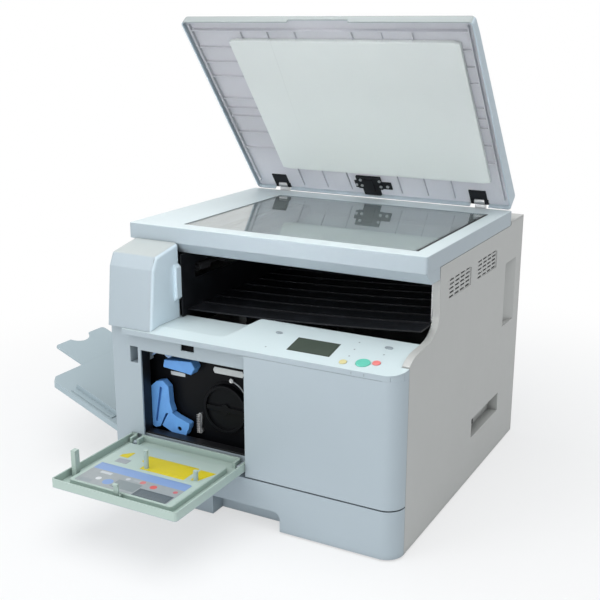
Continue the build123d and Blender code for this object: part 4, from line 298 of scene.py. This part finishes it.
class Nodes:
    """Adds nodes to a node tree."""

    def __init__(self, tree):
        self.tree = tree

    def node(self, kind, settings=None, inputs=None):
        """Adds a node: its settings first, then the values or links of its sockets."""
        made = self.tree.nodes.new(kind)
        for name, value in (settings or {}).items():
            setattr(made, name, value)
        for key, value in (inputs or {}).items():
            self.feed(made.inputs[key], value)
        return made

    def feed(self, socket, value):
        """Links a signal to a socket, or sets the socket's number or colour."""
        if isinstance(value, Signal):
            self.tree.links.new(value.socket, socket)
        elif socket.type == "RGBA":
            socket.default_value = (*value[:3], 1)
        else:
            socket.default_value = value

    def out(self, kind, settings=None, inputs=None, output=0):
        """Adds a node and returns one of its outputs."""
        return Signal(self, self.node(kind, settings, inputs).outputs[output])

    def math(self, operation, *values):
        """A Math node on these values."""
        return self.out("ShaderNodeMath", {"operation": operation}, dict(enumerate(values)))

    def seen_directly(self):
        """One for camera, glossy and transmission rays, and zero for light that falls on something."""
        path = self.node("ShaderNodeLightPath")
        camera, glossy, through = (Signal(self, path.outputs[name]) for name in DIRECT_RAYS)
        return camera.at_least(glossy).at_least(through)


class Look(Nodes):
    """A material under construction. Constants go on the Principled shader's own sockets."""

    def __init__(self, name, **constants):
        self.material = bpy.data.materials.new(name)
        self.material.use_nodes = True
        super().__init__(self.material.node_tree)
        self.surface = self.tree.nodes["Principled BSDF"]
        for socket, value in constants.items():
            self.surface.inputs[socket.replace("_", " ")].default_value = value
        self.coordinates = None

    def mix(self, share, first, second):
        """The first colour where share is zero and the second where it is one."""
        return self.out("ShaderNodeMix", {"data_type": "RGBA"}, {0: share, 6: first, 7: second}, 2)

    def place(self):
        """Object coordinates, as one vector."""
        if self.coordinates is None:
            self.coordinates = self.out("ShaderNodeTexCoord", output="Object")
        return self.coordinates

    def axes(self, scale=1000.0):
        """The three object coordinates as values, in millimetres."""
        split = self.node("ShaderNodeSeparateXYZ", inputs={0: self.place()})
        return [Signal(self, split.outputs[i]) * scale for i in range(3)]

    def noise(self, scale, detail=2.0, roughness=0.5, stretch=None):
        """A noise around one half, with scale lumps a metre."""
        where = self.place()
        if stretch:
            where = self.out("ShaderNodeVectorMath", {"operation": "MULTIPLY"}, {0: where, 1: stretch})
        inputs = {"Vector": where, "Scale": scale, "Detail": detail, "Roughness": roughness}
        return self.out("ShaderNodeTexNoise", {}, inputs)

    def bump(self, height, distance, strength=1.0, normal=None):
        """Raises the surface by height times distance."""
        inputs = {"Height": height, "Distance": distance, "Strength": strength}
        if normal is not None:
            inputs["Normal"] = normal
        return self.out("ShaderNodeBump", {}, inputs)

    def rounded(self, radius):
        """The normal that a small radius on every edge would give."""
        return self.out("ShaderNodeBevel", {"samples": 4}, {"Radius": radius})

    def top_light_share(self):
        """One on faces that look up, and zero on upright ones: the share of the painted light that falls on
        tops.
        """
        facing = self.out("ShaderNodeNewGeometry", output="Normal")
        split = self.node("ShaderNodeSeparateXYZ", inputs={0: facing})
        return Signal(self, split.outputs[2]).rise(0.5, 0.95)

    def crevice(self, distance=0.01):
        """One on open surface, falling towards zero in seams and corners."""
        return self.out("ShaderNodeAmbientOcclusion", {"samples": 6}, {"Distance": distance}, "AO")

    def give(self, **sockets):
        """Feeds the Principled shader's sockets and returns the material."""
        for name, value in sockets.items():
            self.feed(self.surface.inputs[name.replace("_", " ")], value)
        return self.material


def scaled(colour, factor):
    """A colour made lighter or darker."""
    return tuple(min(1.0, max(0.0, c * factor)) for c in colour[:3])


def finishes():
    """The scene's finish settings."""
    return bpy.context.scene.printer_finish


def moulded_plastic(name, colour, roughness=0.46, top=None, seams=0.55, paint=None):
    """Injection-moulded plastic: fine spark-eroded grain, slow changes of tone, painted shade in the seams,
    and a painted lighter top where one is given.
    """
    settings = finishes()
    look = Look(name, IOR=1.47)
    slow = look.noise(7.0, 3.0, 0.55)
    base = look.mix(slow, scaled(colour, 0.97), scaled(colour, 1.03))
    # Painted light: faces that look up take the lighter colour top, as the light from above falls on them.
    if top:
        base = look.mix(look.top_light_share(), base, look.mix(slow, scaled(top, 0.97), scaled(top, 1.03)))
    # Painted shade: seams and corners darken towards three tenths of the colour, by the share seams.
    base = look.mix((1 - look.crevice(0.012)) * seams, base, scaled(colour, 0.30))
    if paint:
        base = paint(look, base)
    grain = look.noise(1 / settings.grain, 2.0, 0.6)
    rough = roughness + (look.noise(60.0, 2.0) - 0.5) * 0.1
    normal = look.bump(grain, settings.grain_depth, 0.7, look.rounded(settings.edge))
    return look.give(Base_Color=base, Roughness=rough, Normal=normal)


def black_plastic(name, colour, roughness=0.44):
    """Glass-filled black plastic, a little dusty on its faces."""
    look = Look(name, IOR=1.49, Specular_IOR_Level=0.2)
    dust = look.noise(35.0, 4.0, 0.65).rise(0.45, 0.8)
    base = look.mix(dust, colour, scaled(colour, 2.2))
    rough = roughness + dust * 0.2
    normal = look.bump(look.noise(1100.0, 2.0), 0.00004, 0.8, look.rounded(0.0006))
    return look.give(Base_Color=base, Roughness=rough, Normal=normal)


def zinc_sheet(name, colour):
    """Zinc-plated sheet with rolling lines and soft spangle."""
    look = Look(name, Metallic=0.85)
    lines = look.noise(900.0, 3.0, 0.6, (1.0, 0.04, 1.0))
    spangle = look.noise(160.0, 1.0)
    base = look.mix(spangle, scaled(colour, 0.86), scaled(colour, 1.08))
    normal = look.bump(lines, 0.00002, 0.6, look.rounded(0.0004))
    return look.give(Base_Color=base, Roughness=0.34 + lines * 0.16, Normal=normal)


def rubber(name, colour):
    """Matt rubber, ground to size, with fine cross grain."""
    look = Look(name, IOR=1.5)
    grind = look.noise(1400.0, 2.0, 0.6, (1.0, 0.15, 1.0))
    base = look.mix(look.noise(25.0, 3.0), scaled(colour, 0.8), scaled(colour, 1.6))
    normal = look.bump(grind, 0.00005)
    return look.give(Base_Color=base, Roughness=0.72 + grind * 0.14, Normal=normal)


def key_plastic(name, colour):
    """Glossy tinted key with slight clouding and a soft edge."""
    look = Look(name, IOR=1.49)
    cloud = look.noise(240.0, 1.0)
    base = look.mix(cloud, scaled(colour, 0.92), scaled(colour, 1.12))
    rough = 0.26 + look.noise(500.0, 2.0) * 0.1
    return look.give(Base_Color=base, Roughness=rough, Normal=look.rounded(0.0006))


def dress(material, *names):
    """Gives CAD nodes a material in all their slots."""
    for name in names:
        slots = NODES[name].material_slots
        if not slots:
            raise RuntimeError(f"{name} has no material slot")
        for slot in slots:
            slot.material = material


# Surfaces

def mesh_piece(name, points, faces, material, body, smooth=True):
    """A mesh object from an array of points in metres and an array of corners, riding on a body."""
    mesh = bpy.data.meshes.new(name)
    mesh.from_pydata(points.reshape(-1, 3), [], faces)
    mesh.polygons.foreach_set("use_smooth", np.full(len(mesh.polygons), smooth))
    mesh.update()
    piece = bpy.data.objects.new(name, mesh)
    bpy.context.scene.collection.objects.link(piece)
    mesh.materials.append(material)
    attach(piece, body)
    return piece


def grid_faces(rows, columns, wrap_rows=False, wrap_columns=True):
    """Four corners for every cell of a grid of points, whose rows or columns may close on themselves."""
    r = np.arange(rows if wrap_rows else rows - 1)
    c = np.arange(columns if wrap_columns else columns - 1)
    r, c = (a.ravel() for a in np.meshgrid(r, c, indexing="ij"))
    up, right = (r + 1) % rows, (c + 1) % columns
    return np.stack([r * columns + c, up * columns + c, up * columns + right, r * columns + right], 1)


def rounded_ring(width, depth, corner, count):
    """Points round a rounded rectangle: points of an inner one plus corner times the way outwards."""
    turn = np.linspace(0, 2 * np.pi, count, endpoint=False)
    direction = np.stack([np.cos(turn), np.sin(turn)], 1)
    reach = np.maximum(np.abs(direction[:, 0]) / (width / 2), np.abs(direction[:, 1]) / (depth / 2))
    square = direction / reach[:, None]
    half = np.array((width, depth)) / 2 - corner
    inner = np.clip(square, -half, half)
    out = square - inner
    length = np.linalg.norm(out, axis=1, keepdims=True)
    return inner + out * np.where(length > 0, corner / np.maximum(length, 1e-9), 0)


def outlined(corners, count):
    """Points at even steps round a polygon, by linear interpolation over the length walked."""
    ring = np.array((*corners, corners[0]), float)
    walked = np.concatenate([[0], np.cumsum(np.linalg.norm(np.diff(ring, axis=0), axis=1))])
    steps = np.linspace(0, walked[-1], count, endpoint=False)
    return np.stack([np.interp(steps, walked, ring[:, 0]), np.interp(steps, walked, ring[:, 1])], 1)


def slab(outline, thickness, edge, rings=12, relief=None):
    """A closed slab: an outline shrunk towards zero on rings, over the top, round the edge and back under.

    The top's height is the thickness plus relief(x, y), and the rim follows a quarter circle of radius edge.
    """
    count = len(outline)
    away = outline / np.linalg.norm(outline, axis=1, keepdims=True)
    outline = outline - edge * away
    shares = np.linspace(0.02, 1, rings)
    rim = np.linspace(0, np.pi / 2, 5)[1:]
    grow = np.concatenate([np.zeros(rings), edge * np.sin(rim), edge * np.sin(rim[::-1]), np.zeros(rings)])
    share = np.concatenate([shares, np.ones(8), shares[::-1]])
    drop = np.concatenate([np.zeros(rings), edge * (1 - np.cos(rim))])
    height = np.concatenate([thickness - drop, drop[::-1]])
    plan = share[:, None, None] * outline[None] + grow[:, None, None] * away[None]
    z = np.repeat(height[:, None], count, 1)
    if relief is not None:
        z[:rings] += relief(plan[:rings, :, 0], plan[:rings, :, 1]) * (1 - share[:rings, None] ** 6)
    points = np.concatenate([plan, z[..., None]], 2).reshape(-1, 3)
    faces = [list(f) for f in grid_faces(len(height), count)]
    last = len(points) - count
    faces += [list(range(count)), list(range(last, last + count))[::-1]]
    return points, faces


def tube(path, radius, sides=10):
    """A round section of constant radius carried along a path, with both ends closed.

    The section's axes are the path's direction crossed with a fixed vector, and crossed again with that.
    """
    along = np.gradient(path, axis=0)
    along /= np.linalg.norm(along, axis=1, keepdims=True)
    across = np.cross(along, (0.13, 0.97, 0.21))
    across /= np.linalg.norm(across, axis=1, keepdims=True)
    third = np.cross(along, across)
    turn = np.linspace(0, 2 * np.pi, sides, endpoint=False)
    ring = np.cos(turn)[None, :, None] * across[:, None] + np.sin(turn)[None, :, None] * third[:, None]
    points = (path[:, None] + radius * ring).reshape(-1, 3)
    faces = [list(f) for f in grid_faces(len(path), sides)]
    last = len(points) - sides
    faces += [list(range(sides)), list(range(last, last + sides))[::-1]]
    return points, faces


def outward(piece):
    """Turns every face of a closed mesh outwards."""
    work = bmesh.new()
    work.from_mesh(piece.data)
    bmesh.ops.recalc_face_normals(work, faces=work.faces)
    work.to_mesh(piece.data)
    work.free()
    return piece


def spot(x, y, z):
    """A place on the casing, in metres in the part's frame."""
    return (np.array((x, y, z)) + ORIGIN) * MM


def placed(points, centre, first, second, third):
    """Carries points drawn at zero to a centre, with their X, Y and Z along three directions."""
    return points @ np.array((first, second, third)) + np.asarray(centre)


def swung_up(points):
    """Turns points of the closed cover about its hinge line by the angle at which it stands open."""
    x, y, z = (points - COVER_AXIS).T
    c, s = math.cos(COVER_OPEN), math.sin(COVER_OPEN)
    return COVER_AXIS + np.stack([x, y * c + z * s, z * c - y * s], 1)


def bent_strip(centre, radius, width, turn, low, high):
    """A closed strip bent round an upright axis: low and high give its lower and upper edge at each Y."""
    away = np.stack([np.cos(turn), np.sin(turn)], 1)
    plan = centre + away[:, None] * np.array((radius, radius, radius - width, radius - width))[:, None]
    outer, inner = plan[:, 0, 1], plan[:, 2, 1]
    edges = np.stack([low(outer), high(outer), high(inner), low(inner)], 1)
    points = np.concatenate([plan, edges[..., None]], 2).reshape(-1, 3)
    faces = [list(f) for f in grid_faces(len(turn), 4)]
    last = len(points) - 4
    return points, faces + [list(range(4)), list(range(last, last + 4))[::-1]]


# Finishes of the CAD nodes

def corner_axes(look):
    """Object coordinates in millimetres, measured from the casing's left, front and floor."""
    x, y, z = look.axes()
    return x - ORIGIN[0], y - ORIGIN[1], z


def along_cover(look):
    """Distance in millimetres from the cover's hinge line, along the raised cover."""
    _, y, z = look.axes()
    _, axis_y, axis_z = COVER_AXIS / MM
    return (z - axis_z) * math.sin(COVER_OPEN) - (y - axis_y) * math.cos(COVER_OPEN)


def patch(look, base, first, second, box, colour):
    """Paints a plain rectangle: first within box's first two values, second within its last two."""
    return look.mix(first.between(*box[:2]) * second.between(*box[2:]), base, colour)


def dot(look, base, first, second, centre, radius, colour):
    """Paints a plain round spot."""
    across, up = first - centre[0], second - centre[1]
    return look.mix((across * across + up * up) < radius * radius, base, colour)


def bay_mask(look, base):
    """Blackens the returns of the frame that lead into the maintenance bay."""
    x, y, z = corner_axes(look)
    inside = x.between(*BAY_X) * z.between(*BAY_Z) * (y > BAY_RIM_Y)
    return look.mix(inside, base, finishes().black)


def column_side(look, base):
    """Lightens the column's face towards the paper exit, which the pale tray room lights."""
    x, y, _ = corner_axes(look)
    side = x.rise(COLUMN_W - 4.0, COLUMN_W - 1.0) * (y < COLUMN_BACK)
    return look.mix(side, base, scaled(finishes().casing, 1.75))


def door_outside(look, base):
    """Gives the outer skin of the let-down door the colour of the covers beside it."""
    _, _, z = corner_axes(look)
    skin = 1 - z.rise(DOOR_SKIN_Z + 0.3, DOOR_SKIN_Z + 0.9)
    return look.mix(skin, base, finishes().casing)


def cover_edge_shade(look, base):
    """Paints shade on the thin front wall of the cover, as a grey strip."""
    # Painted shade on the cover's front wall.
    edge = along_cover(look).rise(COVER_LENGTH - 3.0, COVER_LENGTH - 1.0)
    return look.mix(edge, base, (0.34, 0.375, 0.375))


def painted_liner_light(look, base):
    """Paints light on the cover's liner: paler towards the hinge line, where light from the glass and the
    scanner's top falls.
    """
    near = 1 - along_cover(look).rise(15.0, 150.0)
    return look.mix(near, base, scaled(finishes().liner, 1.28))


def scanner_print(look, base):
    """A pale strip along the back of the platen glass, with a plain tick every 20 mm."""
    x, y, z = corner_axes(look)
    above = z > STRIP_Z
    strip = (y.between(*STRIP_Y) * x.between(*STRIP_X)).at_most(above)
    base = look.mix(strip, base, (0.66, 0.70, 0.70))
    tick = look.math("FRACT", x * 0.05).between(0.0, 0.05) * y.between(*TICK_Y)
    return look.mix(tick * above * x.between(*TICK_X), base, (0.2, 0.22, 0.23))


def lcd_window(name):
    """Dark grey-green display behind a satin window, with faint cells and a slightly darker rim."""
    look = Look(name, IOR=1.45, Specular_IOR_Level=0.3)
    x, y, _ = corner_axes(look)
    cloud = look.noise(30.0, 2.0)
    base = look.mix(cloud, (0.060, 0.078, 0.062), (0.075, 0.096, 0.076))
    inner = x.between(*LCD_X) * y.between(*LCD_Y)
    base = look.mix((1 - inner) * 0.35, base, (0.045, 0.055, 0.048))
    cells = (look.math("FRACT", x * 2.2) > 0.86) + (look.math("FRACT", y * 2.2) > 0.86)
    base = look.mix(cells * 0.1, base, (0.04, 0.045, 0.04))
    return look.give(Base_Color=base, Roughness=0.30 + cloud * 0.06)


def polished_glass(name):
    """Clear float glass with a faint green body and a few finger marks."""
    look = Look(name, IOR=1.52, Transmission_Weight=0.84)
    marks = look.noise(18.0, 5.0, 0.7).rise(0.55, 0.8)
    base = look.mix(marks * 0.1, (0.80, 0.88, 0.88), (0.7, 0.76, 0.76))
    return look.give(Base_Color=base, Roughness=0.01 + marks * 0.06)


class OBJECT_OT_printer_casing(bpy.types.Operator):
    """Finish the outer covers, the cover's liner, the door and the trays"""

    bl_idname = "object.printer_casing"
    bl_label = "Casing finishes"

    def execute(self, context):
        s = finishes()
        dress(moulded_plastic("casing_grain", s.casing), *CASING_NODES)
        # Painted light: the column's up-facing faces take a lighter copy of the casing colour.
        column = moulded_plastic("column_grain", s.casing, top=(0.49, 0.53, 0.525), paint=column_side)
        dress(column, "column_cover")
        dress(moulded_plastic("opening_grain", s.casing, paint=bay_mask), "opening_frame")
        # Painted light: the panel's and the scanner's up-facing faces take lighter copies of the casing
        # colour.
        dress(moulded_plastic("panel_grain", s.casing, top=s.panel), "panel_housing")
        scanner = moulded_plastic("scanner_grain", s.casing, top=(0.66, 0.74, 0.76), paint=scanner_print)
        dress(scanner, "scanner_top")
        # Painted light: the cover's shell takes a lighter copy of the casing colour, for the light on its
        # top.
        dress(moulded_plastic("cover_grain", scaled(s.casing, 1.25), paint=cover_edge_shade), "cover_shell")
        dress(moulded_plastic("side_grain", s.side), *SIDE_NODES)
        liner = moulded_plastic("liner_grain", s.liner, 0.36, seams=0.2, paint=painted_liner_light)
        dress(liner, "cover_liner")
        dress(moulded_plastic("door_grain", s.door, 0.40, paint=door_outside), "door_panel")
        dress(moulded_plastic("door_liner_grain", s.door, 0.40), "door_liner")
        dress(moulded_plastic("tray_grain", s.tray, 0.5, seams=0.4), *TRAY_NODES)
        return {"FINISHED"}


class OBJECT_OT_printer_mechanism(bpy.types.Operator):
    """Finish the sheet steel, rubber and black parts inside and below"""

    bl_idname = "object.printer_mechanism"
    bl_label = "Mechanism finishes"

    def execute(self, context):
        s = finishes()
        dress(zinc_sheet("zinc_sheet", s.steel), *STEEL_NODES)
        dress(rubber("ground_rubber", s.rubber), *RUBBER_NODES)
        dress(black_plastic("path_black", scaled(s.black, 1.5)), *BLACK_NODES)
        return {"FINISHED"}


class OBJECT_OT_printer_panel(bpy.types.Operator):
    """Finish the keys, the display and the platen glass, and close the panel's lip round its corner"""

    bl_idname = "object.printer_panel"
    bl_label = "Panel and glass"

    def execute(self, context):
        s = finishes()
        dress(key_plastic("start_tint", s.start), "start_key")
        dress(key_plastic("stop_tint", s.stop), "stop_key")
        dress(key_plastic("reset_tint", s.reset), "reset_key")
        dress(key_plastic("small_key_tint", s.small_key), "energy_key", "left_key", "status_lamps")
        dress(lcd_window("lcd_window"), "display")
        dress(polished_glass("platen_clear"), "platen_glass")

        def lower(y):
            """The lip's level lower edge."""
            return LIP_LOW + 0 * y

        def upper(y):
            """The lip's upper edge, which rises with the panel."""
            return LIP_HIGH + PANEL_RISE * y

        turn = np.radians(np.linspace(*LIP_TURN, 48))
        points, faces = bent_strip(np.array(LIP_CENTRE), LIP_RADIUS, LIP_WIDTH, turn, lower, upper)
        points = (points + ORIGIN) * MM
        finish = moulded_plastic("lip_grain", s.casing)
        outward(mesh_piece("panel_corner_lip", points, faces, finish, "root", smooth=False))
        return {"FINISHED"}


def pad_film(name, colour):
    """White film over foam: soft clouding, a satin face, painted shade along one faint crease, and painted
    light that makes it paler near the hinges.
    """
    look = Look(name, IOR=1.46)
    cloud = look.noise(9.0, 3.0, 0.5)
    base = look.mix(cloud, scaled(colour, 0.95), scaled(colour, 1.03))
    x, _, z = corner_axes(look)
    lean = (x - CREASE_X) - (z - CREASE_Z) * CREASE_LEAN
    # Painted shade along one faint crease.
    base = look.mix(lean.near(0.0, 0.9) * 0.175, base, scaled(colour, 0.7))
    # Painted light: paler towards the hinges, where light from the glass falls on the pad.
    near = 1 - along_cover(look).rise(60.0, 330.0)
    base = look.mix(near, base, scaled(colour, 1.22))
    normal = look.bump(look.noise(700.0, 2.0), 0.00002, 0.5)
    return look.give(Base_Color=base, Roughness=0.42 + cloud * 0.12, Normal=normal)


class OBJECT_OT_printer_pad(bpy.types.Operator):
    """Make the white pad that presses the original on the glass"""

    bl_idname = "object.printer_pad"
    bl_label = "Platen pad"

    def execute(self, context):
        low, high = np.array(PAD_LOW), np.array(PAD_HIGH)
        size = (high - low) * MM
        waves = np.array(PAD_WAVES) * MM

        def relief(x, y):
            """Three long slow waves, as film on foam has."""
            return (waves[0] * np.sin(x * 9 + y * 14) + waves[1] * np.sin(x * 31 - y * 11 + 1)
                    + waves[2] * np.sin(x * 17 + y * 47 + 2) - PAD_SINK * MM)

        outline = rounded_ring(size[0], size[1], PAD_CORNER * MM, 160)
        points, faces = slab(outline, size[2], PAD_EDGE * MM, 40, relief)
        centre = (low + high) / 2
        middle = spot(centre[0], centre[1], high[2])
        points = placed(points, middle, (1, 0, 0), (0, -1, 0), (0, 0, -1))
        film = pad_film("pad_film", finishes().pad)
        pad = mesh_piece("platen_pad_film", swung_up(points), faces, film, "lid")
        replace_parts(outward(pad), "platen_pad")
        return {"FINISHED"}


def bay_black(name, colour):
    """Black moulded bay plate: satin, with a few paler scuffs."""
    look = Look(name, IOR=1.49, Specular_IOR_Level=0.1)
    scuff = look.noise(90.0, 5.0, 0.7).rise(0.62, 0.8)
    base = look.mix(scuff * 0.6, colour, scaled(colour, 3.0))
    rough = 0.33 + scuff * 0.25
    normal = look.bump(look.noise(900.0), 0.00005, 0.8, look.rounded(0.0006))
    return look.give(Base_Color=base, Roughness=rough, Normal=normal)


def touch_blue(name, colour):
    """Blue moulded plastic with a slight sheen, paler rubbed high spots and painted shade in its crevices.
    """
    look = Look(name, IOR=1.49)
    rubbed = look.noise(55.0, 4.0, 0.6)
    base = look.mix(rubbed, scaled(colour, 0.85), scaled(colour, 1.2))
    # Painted shade: crevices darken towards three tenths of the colour.
    base = look.mix((1 - look.crevice(0.01)) * 0.5, base, scaled(colour, 0.3))
    rough = 0.34 + rubbed * 0.12
    normal = look.bump(look.noise(1000.0), 0.00003, 0.7, look.rounded(0.0008))
    return look.give(Base_Color=base, Roughness=rough, Normal=normal)


def plain_paint(name, colour, roughness=0.5):
    """Printed film of one colour with slight unevenness."""
    look = Look(name, IOR=1.46)
    cloud = look.noise(120.0, 3.0)
    base = look.mix(cloud, scaled(colour, 0.93), scaled(colour, 1.05))
    return look.give(Base_Color=base, Roughness=roughness + cloud * 0.1)


class OBJECT_OT_printer_bay(bpy.types.Operator):
    """Finish the maintenance bay and make its tags, spring and sensor lead"""

    bl_idname = "object.printer_bay"
    bl_label = "Maintenance bay"

    def execute(self, context):
        s, size = finishes(), context.scene.printer_detail
        dress(bay_black("bay_black", s.black), "bay_plate", "toner_cartridge")
        dress(touch_blue("touch_blue", s.blue), *BLUE_NODES)
        dress(touch_blue("pale_blue", (0.30, 0.45, 0.72)), "lock_lever")

        white = plain_paint("tag_white", (0.72, 0.75, 0.76))
        for name, (x0, x1, z0, z1) in BAY_TAGS.items():
            outline = rounded_ring((x1 - x0) * MM, (z1 - z0) * MM, TAG_CORNER * MM, 32)
            points, faces = slab(outline, TAG_T * MM, TAG_EDGE * MM, 3)
            middle = spot((x0 + x1) / 2, TAG_Y, (z0 + z1) / 2)
            points = placed(points, middle, (1, 0, 0), (0, 0, 1), (0, -1, 0))
            outward(mesh_piece(name, points, faces, white, "root"))

        turns = size.spring_turns
        turn = np.linspace(0, 2 * np.pi * turns, 24 * turns)
        rise = np.linspace(0, (SPRING_TOP_Z - SPRING_FOOT[2]) * MM, len(turn))
        path = np.stack([size.spring_radius * np.cos(turn), size.spring_radius * np.sin(turn), rise], 1)
        points, faces = tube(path + spot(*SPRING_FOOT), size.spring_wire, 6)
        steel = zinc_sheet("spring_wire", (0.62, 0.62, 0.62))
        outward(mesh_piece("bay_spring", points, faces, steel, "root"))

        share = np.linspace(0, 1, 40)[:, None]
        start, end = spot(*LEAD_START), spot(*LEAD_END)
        sag = np.sin(np.pi * share) * np.array(LEAD_SAG) * MM
        points, faces = tube(start + (end - start) * share + sag, size.lead_radius, 8)
        lead = plain_paint("lead_grey", (0.42, 0.44, 0.46), 0.4)
        outward(mesh_piece("bay_sensor_lead", points, faces, lead, "root"))
        return {"FINISHED"}


def card_print(name):
    """Guide card without lettering: a blue band, a grey field, darker fields and plain round spots."""
    look = Look(name, IOR=1.46)
    x, y, _ = corner_axes(look)
    cloud = look.noise(140.0, 3.0)
    base = look.mix(cloud, (0.30, 0.335, 0.35), (0.38, 0.41, 0.42))
    for box, colour in CARD_FIELDS:
        base = patch(look, base, x, y, box, colour)
    for centre, radius, colour in CARD_SPOTS:
        base = dot(look, base, x, y, centre, radius, colour)
    across, along = CARD_STRIPES
    stripes = (look.math("FRACT", y * 0.4) > 0.6) * x.between(*across) * y.between(*along)
    base = look.mix(stripes * 0.4, base, (0.24, 0.27, 0.29))
    return look.give(Base_Color=base, Roughness=0.36 + cloud * 0.12)


class OBJECT_OT_printer_labels(bpy.types.Operator):
    """Make the plain coloured labels inside the front door"""

    bl_idname = "object.printer_labels"
    bl_label = "Door labels"

    def execute(self, context):
        thickness = context.scene.printer_detail.label_thickness
        for name, (corners, colour) in LABELS.items():
            middle = np.mean(corners, axis=0)
            points, faces = slab(outlined((corners - middle) * MM, 96), thickness, LABEL_EDGE * MM, 4)
            points = points + spot(*middle, LABEL_Z)
            finish = plain_paint(name + "_print", colour, 0.42) if colour else card_print(name + "_print")
            outward(mesh_piece(name, points, faces, finish, "front_door"))
        return {"FINISHED"}


class OBJECT_OT_printer_stage(bpy.types.Operator):
    """Make the camera, the lamps, the even light and the pale floor"""

    bl_idname = "object.printer_stage"
    bl_label = "Stage"

    def execute(self, context):
        s = context.scene.printer_stage
        context.scene.view_settings.view_transform = "Standard"
        camera = bpy.data.objects.new("camera", bpy.data.cameras.new("camera"))
        camera.data.lens, camera.data.sensor_width = s.lens, SENSOR_WIDTH
        camera.data.clip_start, camera.data.clip_end = 0.05, 60.0
        camera.location = s.position
        camera.rotation_euler = Euler((math.pi / 2 - s.elevation, 0.0, s.azimuth))
        context.scene.collection.objects.link(camera)
        context.scene.camera = camera

        for name, (place, aim, size, spread) in LAMPS.items():
            self.lamp("lamp_" + name, place, aim, size, getattr(s, name + "_power"), spread)
        self.ambient(context.scene, s.ambient)
        self.floor(s.floor_glow)
        return {"FINISHED"}

    def lamp(self, name, place, aim, size, power, spread):
        """A square area lamp turned towards a point."""
        lamp = bpy.data.lights.new(name, "AREA")
        lamp.size, lamp.energy, lamp.spread = size, power, spread
        body = bpy.data.objects.new(name, lamp)
        body.location = place
        body.rotation_euler = (Vector(aim) - Vector(place)).to_track_quat("-Z", "Y").to_euler()
        bpy.context.scene.collection.objects.link(body)

    def ambient(self, scene, strength):
        """Even light on the object, and plain white for the camera, glass and gloss."""
        scene.world = bpy.data.worlds.new("even_light")
        scene.world.use_nodes = True
        nodes = Nodes(scene.world.node_tree)
        share = nodes.seen_directly()
        even = nodes.out("ShaderNodeBackground", {}, {"Color": (0.93, 0.97, 1.0), "Strength": strength})
        white = nodes.out("ShaderNodeBackground", {}, {"Color": (1, 1, 1), "Strength": 1.0})
        both = nodes.out("ShaderNodeMixShader", {}, {0: share, 1: even, 2: white})
        nodes.feed(nodes.tree.nodes["World Output"].inputs["Surface"], both)

    def floor(self, glow):
        """A round flat floor, whose white share grows from the object outwards."""
        turn = np.linspace(0, 2 * np.pi, FLOOR_SIDES, endpoint=False)
        points = np.stack([np.cos(turn), np.sin(turn), 0 * turn], 1) * FLOOR_RADIUS
        mesh = bpy.data.meshes.new("floor")
        mesh.from_pydata(points, [], [list(range(FLOOR_SIDES))])
        floor = bpy.data.objects.new("floor", mesh)
        bpy.context.scene.collection.objects.link(floor)
        material = bpy.data.materials.new("floor_paper")
        material.use_nodes = True
        nodes = Nodes(material.node_tree)
        where = nodes.out("ShaderNodeTexCoord", output="Object")
        away = nodes.out("ShaderNodeVectorMath", {"operation": "LENGTH"}, {0: where}, "Value")
        share = (away.rise(*FLOOR_FADE) * (1 - glow) + glow) * nodes.seen_directly()
        paper = nodes.out("ShaderNodeBsdfDiffuse", {}, {"Color": (0.86, 0.87, 0.88)})
        white = nodes.out("ShaderNodeEmission", {}, {"Color": (1, 1, 1), "Strength": 1.0})
        both = nodes.out("ShaderNodeMixShader", {}, {0: share, 1: paper, 2: white})
        nodes.feed(nodes.tree.nodes["Material Output"].inputs["Surface"], both)
        mesh.materials.append(material)


OPERATORS = (
    OBJECT_OT_printer_stage, OBJECT_OT_printer_casing, OBJECT_OT_printer_mechanism,
    OBJECT_OT_printer_panel, OBJECT_OT_printer_pad, OBJECT_OT_printer_bay, OBJECT_OT_printer_labels,
)
SETTINGS = {
    "printer_finish": FinishSettings,
    "printer_stage": StageSettings,
    "printer_detail": DetailSettings,
}


class VIEW3D_PT_printer(bpy.types.Panel):
    """Settings and steps of the printer's looks"""

    bl_idname = "VIEW3D_PT_printer"
    bl_label = "Printer"
    bl_space_type = "VIEW_3D"
    bl_region_type = "UI"
    bl_category = "Printer"

    def draw(self, context):
        for name, settings in SETTINGS.items():
            box = self.layout.box()
            for field in settings.__annotations__:
                box.prop(getattr(context.scene, name), field)
        for operator in OPERATORS:
            self.layout.operator(operator.bl_idname)


def register():
    """Registers the settings, the operators and the panel."""
    for item in (*SETTINGS.values(), *OPERATORS, VIEW3D_PT_printer):
        bpy.utils.register_class(item)
    for name, settings in SETTINGS.items():
        setattr(bpy.types.Scene, name, PointerProperty(type=settings))


def unregister():
    """Takes away what register added."""
    for name in SETTINGS:
        delattr(bpy.types.Scene, name)
    for item in reversed((*SETTINGS.values(), *OPERATORS, VIEW3D_PT_printer)):
        bpy.utils.unregister_class(item)


def main():
    """Runs every step in order."""
    register()
    for operator in OPERATORS:
        group, name = operator.bl_idname.split(".")
        getattr(getattr(bpy.ops, group), name)()


if __name__ == "__main__":
    main()
